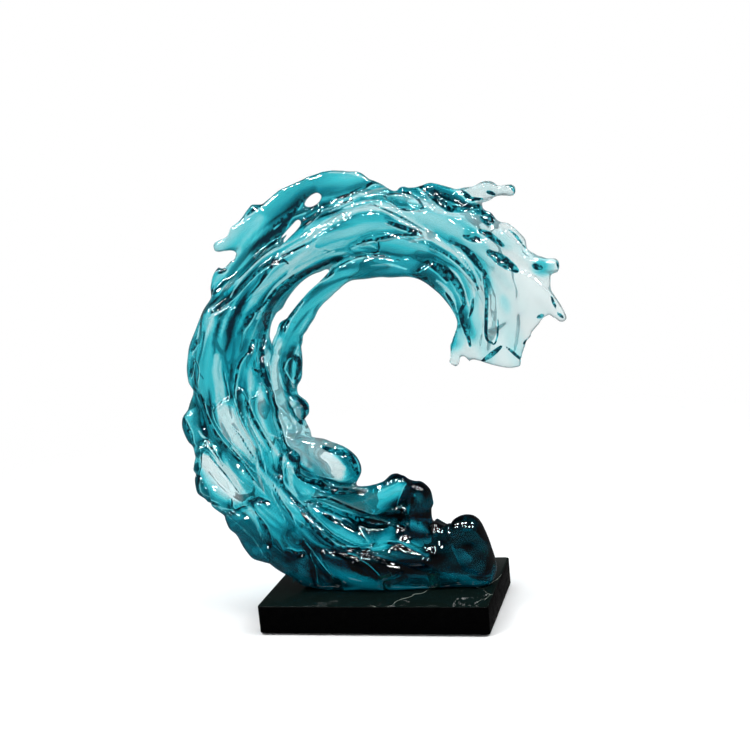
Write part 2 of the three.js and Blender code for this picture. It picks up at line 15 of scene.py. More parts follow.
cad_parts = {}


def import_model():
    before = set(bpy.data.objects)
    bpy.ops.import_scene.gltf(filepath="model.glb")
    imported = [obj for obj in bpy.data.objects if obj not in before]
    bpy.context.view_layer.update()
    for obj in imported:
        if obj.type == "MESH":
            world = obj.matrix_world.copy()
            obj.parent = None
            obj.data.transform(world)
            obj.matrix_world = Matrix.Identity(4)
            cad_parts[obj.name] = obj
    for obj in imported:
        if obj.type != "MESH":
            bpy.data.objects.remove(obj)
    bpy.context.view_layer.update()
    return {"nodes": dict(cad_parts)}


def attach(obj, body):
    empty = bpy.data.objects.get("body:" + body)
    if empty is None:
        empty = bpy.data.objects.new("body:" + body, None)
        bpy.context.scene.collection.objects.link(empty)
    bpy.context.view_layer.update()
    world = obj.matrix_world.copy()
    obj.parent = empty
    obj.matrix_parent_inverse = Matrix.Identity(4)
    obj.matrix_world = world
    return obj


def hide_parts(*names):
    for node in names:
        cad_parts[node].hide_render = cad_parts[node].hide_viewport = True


LOG = logging.getLogger("wave_sculpture")
MM = 0.001
MERGE_DISTANCE = 0.01 * MM
GRAIN_MIDDLE = 0.5

Colour = tuple[float, float, float]
Point = tuple[float, float, float]
Place = tuple[float, float]
Stops = tuple[tuple[float, Colour], ...]

# Where a share is 0 and where it is 1
Span = tuple[float, float]


class Finish(Enum):
    """Finish names for the resin and the stone; nothing in the script uses them."""

    RESIN = "clear_resin"
    STONE = "black_stone"


def deselect_all() -> None:
    """Leaves edit mode and deselects every object."""
    if bpy.context.object and bpy.context.object.mode != "OBJECT":
        bpy.ops.object.mode_set(mode="OBJECT")
    bpy.ops.object.select_all(action="DESELECT")


def make_active(piece: bpy.types.Object) -> None:
    """Selects one object alone and makes it the active one."""
    deselect_all()
    piece.select_set(True)
    bpy.context.view_layer.objects.active = piece


def apply_modifier(piece: bpy.types.Object, kind: str, **settings: object) -> None:
    """Adds a modifier to a piece and applies it.

    Args:
        piece: The object that gets the modifier.
        kind: The modifier's type.
        settings: The modifier's own settings.
    """
    make_active(piece)
    modifier = piece.modifiers.new(kind.lower(), kind)
    for name, value in settings.items():
        setattr(modifier, name, value)
    bpy.ops.object.modifier_apply(modifier=modifier.name)


def merged_copy(node: bpy.types.Object, name: str) -> bpy.types.Object:
    """Copies a solid's mesh into an object of its own and merges its points.

    Args:
        node: The solid.
        name: The new object's name.

    Returns:
        The copy, active and in object mode.
    """
    piece = bpy.data.objects.new(name, node.data.copy())
    bpy.context.scene.collection.objects.link(piece)
    make_active(piece)
    bpy.ops.object.mode_set(mode="EDIT")
    bpy.ops.mesh.select_all(action="SELECT")
    bpy.ops.mesh.remove_doubles(threshold=MERGE_DISTANCE)
    bpy.ops.object.mode_set(mode="OBJECT")
    return piece


def rise(values: np.ndarray, low: float, high: float) -> np.ndarray:
    """Returns a straight rise from 0 at low to 1 at high; low may be above high."""
    return np.clip((values - low) / (high - low), 0.0, 1.0)


def smoothstep(values: np.ndarray, low: float, high: float) -> np.ndarray:
    """Returns a smooth rise from 0 at low to 1 at high; low may be above high."""
    share = rise(values, low, high)
    return share * share * (3.0 - 2.0 * share)


class Sheet:
    """A node tree under construction."""

    def __init__(self, tree: bpy.types.NodeTree) -> None:
        """Takes the tree that the nodes go into."""
        self.tree = tree

    def node(self, kind: str, inputs: Mapping[str, object] | None = None,
             **settings: object) -> bpy.types.Node:
        """Adds a node.

        Args:
            kind: The node's type.
            inputs: Constants for its input sockets, by name.
            settings: The node's own properties.

        Returns:
            The new node.
        """
        made = self.tree.nodes.new(kind)
        for name, value in settings.items():
            setattr(made, name, value)
        for name, value in (inputs or {}).items():
            made.inputs[name].default_value = value
        return made

    def link(self, source: bpy.types.NodeSocket, target: bpy.types.NodeSocket) -> None:
        """Joins an output to an input."""
        self.tree.links.new(source, target)

    def ramp(self, source: bpy.types.NodeSocket, stops: Stops) -> bpy.types.NodeSocket:
        """Turns a value into a colour.

        Args:
            source: The value's output.
            stops: The places and colours along the ramp, in order.

        Returns:
            The colour's output.
        """
        made = self.node("ShaderNodeValToRGB")
        elements = made.color_ramp.elements
        while len(elements) < len(stops):
            elements.new(1.0)
        for element, (place, colour) in zip(elements, stops):
            element.position = place
            element.color = (*colour, 1.0)
        self.link(source, made.inputs["Fac"])
        return made.outputs["Color"]

    def spread(self, source: bpy.types.NodeSocket, low: float, high: float) -> bpy.types.NodeSocket:
        """Turns a value into a smooth share, 0 at low and 1 at high."""
        made = self.node("ShaderNodeMapRange", interpolation_type="SMOOTHSTEP")
        made.inputs["From Min"].default_value = low
        made.inputs["From Max"].default_value = high
        self.link(source, made.inputs["Value"])
        return made.outputs["Result"]

    def math(self, operation: str, first: bpy.types.NodeSocket,
             second: bpy.types.NodeSocket | float) -> bpy.types.NodeSocket:
        """Combines a value with another value or a constant."""
        made = self.node("ShaderNodeMath", operation=operation)
        self.link(first, made.inputs[0])
        if isinstance(second, float):
            made.inputs[1].default_value = second
        else:
            self.link(second, made.inputs[1])
        return made.outputs[0]


class Shader(Sheet):
    """A material under construction, round a Principled shader."""

    def __init__(self, name: str, constants: Mapping[str, object]) -> None:
        """Starts a material.

        Args:
            name: The material's name.
            constants: Constants for the Principled shader's sockets, by name.
        """
        self.material = bpy.data.materials.new(name)
        self.material.use_nodes = True
        super().__init__(self.material.node_tree)
        self.surface = self.tree.nodes["Principled BSDF"]
        for socket, value in constants.items():
            self.surface.inputs[socket].default_value = value

    def attribute(self, name: str) -> bpy.types.NodeSocket:
        """Reads a value that is stored at the mesh's points."""
        return self.node("ShaderNodeAttribute", attribute_name=name).outputs["Fac"]

    def grain(self, scale: float) -> bpy.types.NodeSocket:
        """Returns the shared grain's value at a scale in cells per metre."""
        made = self.node("ShaderNodeGroup", node_tree=grain_group())
        made.inputs["Scale"].default_value = scale
        return made.outputs["Value"]

    def colour(self, source: bpy.types.NodeSocket, stops: Stops) -> None:
        """Colours the surface by a value."""
        self.link(self.ramp(source, stops), self.surface.inputs["Base Color"])

    def wear(self, grain: bpy.types.NodeSocket, roughness: float) -> None:
        """Makes the surface rough by a grain, with a mean roughness."""
        uneven = self.math("MULTIPLY", grain, roughness / GRAIN_MIDDLE)
        self.link(uneven, self.surface.inputs["Roughness"])

    def bump(self, height: bpy.types.NodeSocket, distance: float) -> None:
        """Raises the surface's shading by a height value."""
        made = self.node("ShaderNodeBump", {"Strength": 1.0, "Distance": distance})
        self.link(height, made.inputs["Height"])
        self.link(made.outputs["Normal"], self.surface.inputs["Normal"])


def grain_group() -> bpy.types.NodeTree:
    """Returns the group that gives the pieces' fine, uneven grain, and makes it the first time."""
    name = "grain"
    if name in bpy.data.node_groups:
        return bpy.data.node_groups[name]
    group = bpy.data.node_groups.new(name, "ShaderNodeTree")
    group.interface.new_socket("Scale", in_out="INPUT", socket_type="NodeSocketFloat")
    group.interface.new_socket("Value", in_out="OUTPUT", socket_type="NodeSocketFloat")
    sheet = Sheet(group)
    start = sheet.node("NodeGroupInput")
    end = sheet.node("NodeGroupOutput")
    place = sheet.node("ShaderNodeTexCoord")
    cloud = sheet.node("ShaderNodeTexNoise", {"Detail": 5.0, "Roughness": 0.6})
    sheet.link(place.outputs["Object"], cloud.inputs["Vector"])
    sheet.link(start.outputs["Scale"], cloud.inputs["Scale"])
    sheet.link(cloud.outputs["Fac"], end.inputs["Value"])
    return group


@dataclass(frozen=True)
class ResinFinish:
    """Clear cast resin with a teal dye, darker towards the foot, with painted shade along the creases
    and painted highlights beside them and in streaks.
    """

    refraction: float = 1.5
    clarity: float = 0.82
    absorbed: Colour = (0.04, 0.74, 0.79)
    density: float = 12.0
    crease_shade_fade: float = 0.35
    highlight_depth: float = 0.55
    highlight_fade: float = 0.6
    gleam_fade: float = 0.7
    wobble: float = 0.7
    wobble_scale: float = 110.0
    speckle_depth: float = 0.42
    speckle_scale: float = 240.0
    speckle_span: Span = (0.48, 0.62)
    dyes_and_painted_light: Stops = (
        (0.0, (0.94, 0.945, 0.94)),
        (0.09, (0.74, 0.80, 0.80)),
        (0.25, (0.4, 0.76, 0.79)),
        (0.5, (0.022, 0.52, 0.6)),
        (0.75, (0.001, 0.15, 0.21)),
        (1.0, (0.00002, 0.0015, 0.004)),
    )

    def material(self) -> bpy.types.Material:
        """Returns the resin's material."""
        shader = Shader("resin", {
            "Transmission Weight": self.clarity, "Roughness": 0.0, "IOR": self.refraction,
        })
        unevenness = shader.math("SUBTRACT", shader.grain(self.wobble_scale), GRAIN_MIDDLE)
        wobble = shader.math("MULTIPLY", unevenness, self.wobble)
        core, edge, gleam = (
            shader.spread(shader.math("ADD", shader.attribute(name), wobble), 0.0, fade)
            for name, fade in (
                ("crease", self.crease_shade_fade), ("edge", self.highlight_fade), ("gleam", self.gleam_fade)))
        # A pale line painted beside each crease as a highlight.
        painted_highlight = shader.math("MAXIMUM", shader.math("SUBTRACT", edge, core), 0.0)
        kept = shader.math("MULTIPLY_ADD", painted_highlight, -self.highlight_depth)
        kept.node.inputs[2].default_value = 1.0
        # Mixes in the painted highlight streaks.
        streaked = shader.node("ShaderNodeMix")
        shader.link(gleam, streaked.inputs["Factor"])
        shader.link(shader.attribute("tint"), streaked.inputs["A"])
        shader.link(shader.attribute("gleam_tint"), streaked.inputs["B"])
        pale = shader.math("MULTIPLY", streaked.outputs["Result"], kept)
        # Painted shade along the creases, lightened in speckles by the grain.
        speckle = shader.spread(shader.grain(self.speckle_scale), *self.speckle_span)
        speckle = shader.math("MULTIPLY", speckle, -self.speckle_depth)
        dark = shader.math("MULTIPLY", core, shader.math("ADD", speckle, 1.0))
        shader.colour(shader.math("MAXIMUM", pale, dark), self.dyes_and_painted_light)
        volume = shader.node("ShaderNodeVolumeAbsorption",
                             {"Color": (*self.absorbed, 1.0), "Density": self.density})
        shader.link(volume.outputs[0], shader.tree.nodes["Material Output"].inputs["Volume"])
        return shader.material


@dataclass(frozen=True)
class StoneFinish:
    """Black stone with a few thin pale veins, polished or honed."""

    name: str
    roughness: float
    specular: float
    ground: Colour
    vein_colour: Colour
    cell: float = 70.0 * MM
    vein: float = 0.008
    warp_scale: float = 18.0
    warp_detail: float = 3.0
    warp_share: float = 0.06
    patch_scale: float = 22.0
    patch_span: Span = (0.52, 0.6)
    wear_scale: float = 160.0

    def material(self) -> bpy.types.Material:
        """Returns the stone's material."""
        shader = Shader(self.name, {"Specular IOR Level": self.specular})
        place = shader.node("ShaderNodeTexCoord")
        warp = shader.node("ShaderNodeTexNoise", {"Scale": self.warp_scale, "Detail": self.warp_detail})
        shader.link(place.outputs["Object"], warp.inputs["Vector"])
        moved = shader.node("ShaderNodeMix", {"Factor": self.warp_share}, data_type="VECTOR")
        shader.link(place.outputs["Object"], moved.inputs[4])
        shader.link(warp.outputs["Color"], moved.inputs[5])
        cells = shader.node(
            "ShaderNodeTexVoronoi", {"Scale": 1.0 / self.cell}, feature="DISTANCE_TO_EDGE")
        shader.link(moved.outputs[1], cells.inputs["Vector"])
        line = shader.spread(cells.outputs["Distance"], self.vein, 0.0)
        patches = shader.spread(shader.grain(self.patch_scale), *self.patch_span)
        vein = shader.math("MULTIPLY", line, patches)
        shader.colour(vein, ((0.0, self.ground), (1.0, self.vein_colour)))
        shader.wear(shader.grain(self.wear_scale), self.roughness)
        return shader.material


POLISHED_STONE = StoneFinish(
    "stone_top", roughness=0.07, specular=0.12,
    ground=(0.003, 0.007, 0.006), vein_colour=(0.2, 0.23, 0.2))
# The sides: honed, with the ground and veins painted darker than the top's, as shade.
SHADED_HONED_STONE = StoneFinish(
    "stone_side_shaded", roughness=0.35, specular=0.02,
    ground=(0.0006, 0.0006, 0.0007), vein_colour=(0.0015, 0.0015, 0.0015))


@dataclass(frozen=True)
class MetalFinish:
    """A turned metal with fine uneven wear."""

    name: str
    dull: Colour
    bright: Colour
    roughness: float = 0.3
    wear_scale: float = 900.0
    wear_span: Span = (0.3, 0.7)
    wear_depth: float = 0.02 * MM

    def material(self) -> bpy.types.Material:
        """Returns the metal's material."""
        shader = Shader(self.name, {"Metallic": 1.0})
        wear = shader.grain(self.wear_scale)
        shader.colour(wear, tuple(zip(self.wear_span, (self.dull, self.bright))))
        shader.wear(wear, self.roughness)
        shader.bump(wear, self.wear_depth)
        return shader.material


STEEL = MetalFinish("steel", dull=(0.42, 0.43, 0.44), bright=(0.66, 0.67, 0.68))
BRASS = MetalFinish("brass", dull=(0.5, 0.34, 0.12), bright=(0.74, 0.56, 0.24))


@dataclass(frozen=True)
class RubberFinish:
    """Matt black rubber with a fine moulded grain."""

    dark: Colour = (0.012, 0.012, 0.012)
    worn: Colour = (0.04, 0.04, 0.04)
    grain_scale: float = 1400.0
    grain_span: Span = (0.35, 0.75)
    grain_depth: float = 0.05 * MM

    def material(self) -> bpy.types.Material:
        """Returns the rubber's material."""
        shader = Shader("rubber", {"Roughness": 0.8, "Specular IOR Level": 0.3})
        moulding = shader.grain(self.grain_scale)
        shader.colour(moulding, tuple(zip(self.grain_span, (self.dark, self.worn))))
        shader.bump(moulding, self.grain_depth)
        return shader.material


# Where the wave lies: a turn runs in degrees from the foot round to the crest, and the hundredths across
# run from the inner edge of the band of water at 0 to its outer edge at 100
CURL_CENTRE = np.array((10.2 * MM, 181.5 * MM))
CURL_INNER_RADIUS = 78.0 * MM
CURL_BAND = 85.0 * MM
CURL_MIDDLE_RADIUS = CURL_INNER_RADIUS + CURL_BAND / 2
CURL_START = math.radians(300.0)
HUNDREDTH = CURL_BAND / 100


def band_place(turn: float, across: float) -> Place:
    """Returns the X and Z of a place in the wave's band."""
    angle = CURL_START - math.radians(turn)
    radius = CURL_INNER_RADIUS + across * HUNDREDTH
    return CURL_CENTRE[0] + radius * math.cos(angle), CURL_CENTRE[1] + radius * math.sin(angle)


def smooth_line(points: np.ndarray, parts: int) -> np.ndarray:
    """Rounds a line through its points.

    Args:
        points: The line's points.
        parts: How many parts each stretch is cut into.

    Returns:
        The rounded line's points.
    """
    ends = np.vstack([2 * points[0] - points[1], points, 2 * points[-1] - points[-2]])
    made = []
    for a, b, c, d in zip(ends[:-3], ends[1:-2], ends[2:-1], ends[3:]):
        for t in np.arange(parts) / parts:
            made.append(0.5 * (2 * b + (c - a) * t + (2 * a - 5 * b + 4 * c - d) * t**2
                               + (3 * b - a - 3 * c + d) * t**3))
    made.append(points[-1])
    return np.array(made)


@dataclass(frozen=True)
class Stroke:
    """A line of places on the wave's front, with a half width in millimetres that tapers to its ends."""

    reach: ClassVar[float] = 4.0
    far: ClassVar[float] = -9.0
    parts: ClassVar[int] = 6
    end_width: ClassVar[float] = 0.35
    end_cut: ClassVar[float] = 0.08

    name: str
    half_width: float
    line: tuple[Place, ...]

    def nearness(self, places: np.ndarray) -> np.ndarray:
        """Returns how near points are to the line.

        Args:
            places: The points' X and Z in the front elevation, in metres.

        Returns:
            For each point, 1 on the line, 0 at the stroke's edge and less outside it.
        """
        line = smooth_line(np.array([band_place(*place) for place in self.line]), self.parts)
        margin = self.reach * self.half_width * MM
        close = np.all((places > line.min(0) - margin) & (places < line.max(0) + margin), axis=1)
        near = places[close]
        lengths = np.linalg.norm(np.diff(line, axis=0), axis=1)
        marks = np.concatenate([[0.0], np.cumsum(lengths)]) / lengths.sum()
        best = np.full(len(near), self.far)
        for start, end, low, high in zip(line[:-1], line[1:], marks[:-1], marks[1:]):
            step = end - start
            share = np.clip((near - start) @ step / (step @ step), 0.0, 1.0)
            apart = np.linalg.norm(near - start - share[:, None] * step, axis=1)
            place = self.end_cut + (1 - 2 * self.end_cut) * (low + (high - low) * share)
            taper = self.end_width + (1 - self.end_width) * np.sin(math.pi * place)
            best = np.maximum(best, 1.0 - apart / (self.half_width * MM * taper))
        found = np.full(len(places), self.far)
        found[close] = best
        return found


@dataclass(frozen=True)
class Leaf(Stroke):
    """A smooth swelling of the skin, with its height in millimetres and its tint."""

    relief: float
    tint: float = 0.5


@dataclass(frozen=True)
class Crease(Stroke):
    """A furrow between swellings, with its depth in millimetres and painted shade along it."""

    relief: float


@dataclass(frozen=True)
class Gleam(Stroke):
    """A streak of painted highlight, mostly a pale one, with its tint; the darker ones are painted shade
    in folds.
    """

    tint: float = 0.1


@dataclass(frozen=True)
class Nudge:
    """A local shift of the wave's outline, in millimetres outwards from the curl's centre."""

    core: ClassVar[float] = 0.5

    name: str
    turn: float
    across: float
    half_turn: float
    half_across: float
    move: float

    def shift(self, turn: np.ndarray, across: np.ndarray) -> np.ndarray:
        """Returns how far points move, from their turns and their hundredths across."""
        along = smoothstep(np.abs(turn - self.turn) / self.half_turn, 1.0, self.core)
        aside = smoothstep(np.abs(across - self.across) / self.half_across, 1.0, self.core)
        return self.move * along * aside


@dataclass(frozen=True)
class Zone:
    """A stretch of the band with soft borders, and the depth by which its dye differs."""

    name: str
    depth: float
    across: Span
    start: Span
    end: Span

    def share(self, turn: np.ndarray, across: np.ndarray) -> np.ndarray:
        """Returns how far points lie in the zone, from their turns and their hundredths across."""
        along = smoothstep(turn, *self.start) * smoothstep(turn, *self.end)
        return along * smoothstep(across, *self.across)


PALE_ZONES = (
    Zone("fin", 0.22, across=(74, 84), start=(145, 158), end=(188, 168)),
    Zone("crown", 0.2, across=(72, 84), start=(196, 206), end=(230, 222)),
    Zone("ribbon", 0.12, across=(32, 22), start=(143, 155), end=(212, 198)),
)
VEINED_LIMB = Zone("veined_limb", 0.42, across=(95, 75), start=(62, 80), end=(215, 195))

NUDGES = (
    Nudge("ribbon", 168, 13, 34, 40, -3.2),
    Nudge("slot_edge", 170, 36, 26, 10, -2.2),
    Nudge("slot_foot", 151, 17, 10, 24, 3),
    Nudge("inner_left", 161, -2, 15, 20, -1.8),
    Nudge("inner_top", 217, 5, 18, 30, -1.5),
    Nudge("crest_inside", 247, 2, 28, 40, 3),
    Nudge("crown_dip", 222, 92, 6, 25, -1.6),
    Nudge("spray_hump", 234, 95, 11, 28, 3.4),
    Nudge("spike_base", 240, 102, 5, 20, 2.2),
    Nudge("spike_root", 244, 97, 5, 20, 2.4),
    Nudge("crest_bump", 255, 92, 5, 15, 2.4),
    Nudge("crest_dip", 262, 92, 3, 12, -2),
    Nudge("crest_drip", 267, 100, 6, 20, 2.4),
    Nudge("fin_end", 215, 93, 6, 20, -3),
    Nudge("fin_top", 186, 105, 14, 25, -2),
    Nudge("fin_edge", 174, 105, 7, 28, 5.2),
    Nudge("notch", 166, 88, 4, 10, -3),
    Nudge("tooth", 156, 92, 6, 15, 2),
    Nudge("left_rim", 134, 98, 20, 30, 2.6),
    Nudge("drip_tip", 119, 98, 5, 25, -3.6),
    Nudge("low_drip", 97, 110, 6, 25, 2),
    Nudge("low_rim", 87, 112, 7, 25, -1.8),
    Nudge("heel_high", 76, 112, 9, 30, 3.4),
    Nudge("heel_low", 64, 112, 8, 30, -2.6),
    Nudge("splash", 66, -25, 24, 30, -2.6),
    Nudge("flame_tip", 23, -12, 9, 25, -2.4),
    Nudge("knob", 15, 0, 6, 20, -2.4),
    Nudge("saddle", 11.5, 49, 4, 27, -5.6),
    Nudge("inner_low", 92, -12, 16, 25, -1.6),
)

LEAVES = (
    Leaf("fin_root_1", 2.6, ((160, 70), (172, 65), (186, 60), (202, 67), (219, 83)), 0.8),
    Leaf("fin_root_2", 2.6, ((157, 69), (171, 60), (184, 57), (198, 60), (206, 65)), 0.8),
    Leaf("upper_leaf", 8, ((194, 49), (205, 54), (214, 60), (223, 59), (230, 54)), 4.5, tint=0.42),
    Leaf("pale_band", 4, ((197, 63), (207, 70), (215, 71), (223, 66), (245, 50)), 1.5, tint=0.12),
    Leaf("eye", 6.5, ((219, 79), (223, 78), (229, 75)), 4, tint=0.45),
    Leaf("crown_strand", 3, ((223, 86), (229, 81), (234, 77), (240, 80)), 1.2, tint=0.12),
    Leaf("crest_band", 8, ((222, 68), (232, 69), (240, 70), (247, 67), (257, 62)), 4, tint=0.3),
    Leaf("inner_leaf", 7, ((207, 37), (218, 41), (226, 41), (234, 42)), 4, tint=0.45),
    Leaf("crest_strand_1", 3.5, ((240, 37), (248, 34), (255, 28), (262, 17)), 1.5),
    Leaf("crest_strand_2", 3.5, ((243, 46), (250, 43), (258, 35), (267, 21)), 1.5, tint=0.4),
    Leaf("crest_strand_3", 3.5, ((246, 56), (252, 54), (259, 46), (267, 32)), 1.5, tint=0.3),
    Leaf("crest_strand_4", 3.5, ((250, 65), (256, 64), (262, 61), (266, 61)), 1.2, tint=0.15),
    Leaf("rim_lens", 9, ((146, 74), (139, 62), (129, 63), (120, 61)), 4),
    Leaf("limb_strand_1", 5, ((152, 54), (144, 42), (133, 48), (124, 44)), 2),
    Leaf("limb_strand_2", 5.5, ((161, 45), (148, 38), (139, 36), (128, 38)), 2.4),
    Leaf("limb_strand_3", 6, ((153, 28), (141, 25), (132, 27), (123, 24)), 2.4),
    Leaf("limb_strand_4", 5, ((150, 10), (135, 16), (125, 12)), 2),
    Leaf("limb_top_1", 5, ((159, 50), (169, 51), (180, 48), (190, 46)), 1.5),
    Leaf("limb_top_2", 5, ((159, 39), (170, 37), (181, 37), (193, 38)), 1.5, tint=0.45),
    Leaf("inner_knob", 8, ((146, -6), (134, -8), (125, -11)), 5, tint=0.55),
    Leaf("rim_stripe", 3.5, ((122, 86), (116, 73), (108, 68), (100, 55), (86, 47)), 1.8),
    Leaf("window_upper", 11, ((116, 53), (107, 46), (98, 40)), 4.5, tint=0.04),
    Leaf("window_lower", 13, ((101, 87), (95, 83), (87, 79)), 6, tint=0.02),
    Leaf("rim_lump_1", 6, ((113, 94), (108, 89)), 3, tint=0.6),
    Leaf("rim_lump_2", 5, ((97, 104), (91, 107)), 3, tint=0.6),
    Leaf("limb_flow_1", 5.5, ((122, 34), (108, 32), (93, 28), (82, 36), (64, 48)), 4, tint=0.42),
    Leaf("limb_flow_2", 7, ((123, 15), (113, 17), (101, 14), (93, 17), (85, 29)), 4, tint=0.42),
    Leaf("splash_lobe", 13, ((108, 0), (91, -4), (74, -11), (60, -6)), 6, tint=0.08),
    Leaf("leaf_lens", 9, ((64, 33), (53, 36), (45, 44), (40, 48)), 6, tint=0.57),
    Leaf("under_leaf", 5, ((78, 37), (68, 43), (59, 50), (50, 55), (41, 60)), 4, tint=0.55),
    Leaf("foot_flow_1", 7, ((79, 62), (67, 78), (59, 90), (55, 99)), 4, tint=0.75),
    Leaf("foot_flow_2", 7, ((83, 95), (75, 101), (69, 104)), 4, tint=0.74),
    Leaf("foot_strand", 3, ((61, 66), (53, 77), (49, 88)), 3, tint=0.8),
    Leaf("foot_bulge", 13, ((50, 73), (42, 74), (32, 75)), 5, tint=0.84),
    Leaf("inner_edge", 6, ((150, 8), (138, 5), (126, 0), (112, -2), (100, -3)), 1.5, tint=0.14),
    Leaf("flame", 9, ((82, 19), (73, 21), (60, 17), (44, 12), (29, 3), (22, -2)), 6, tint=0.53),
    Leaf("fin_pale", 8, ((158, 74), (166, 80), (174, 86), (180, 93)), 0.5, tint=0.4),
    Leaf("spray_body", 6, ((230, 95), (235, 93), (240, 92), (244, 93)), 1, tint=0.66),
    Leaf("lens_left", 5, ((28, 30), (31, 41), (34, 51), (38, 57)), 4, tint=0.6),
    Leaf("lens_low", 4, ((37, 57), (30, 59), (23, 61), (18, 67)), 4, tint=0.58),
    Leaf("lens_top", 3, ((26, 33), (20, 34), (15, 44)), 3, tint=0.62),
    Leaf("lens_right", 3, ((24, 49), (20, 57), (18, 67)), 3, tint=0.6),
    Leaf("knob_dot", 4, ((13, 7), (14, 14)), 1, tint=0.55),
    Leaf("right_lens", 4, ((14, 83), (12, 97), (8, 101), (4, 108)), 3, tint=0.72),
    Leaf("right_flow", 5, ((7, 70), (5, 80), (4, 96)), 3, tint=0.9),
    Leaf("foot_disc", 6, ((32, 85), (26, 90), (19, 89)), 3, tint=0.8),
    Leaf("foot_lens", 6, ((66, 70), (63, 72)), 4, tint=0.72),
    Leaf("drip_teal", 7, ((266, 88), (268, 98)), 0.5, tint=0.36),
    Leaf("saddle", 6, ((11, 36), (9, 44), (8, 52)), 6, tint=0.96),
    Leaf("crest_fleck", 4, ((267, 50), (272, 46)), 0.5, tint=0.22),
    Leaf("crest_sheen", 5, ((251, 82), (257, 84)), 0.5, tint=0.26),
)

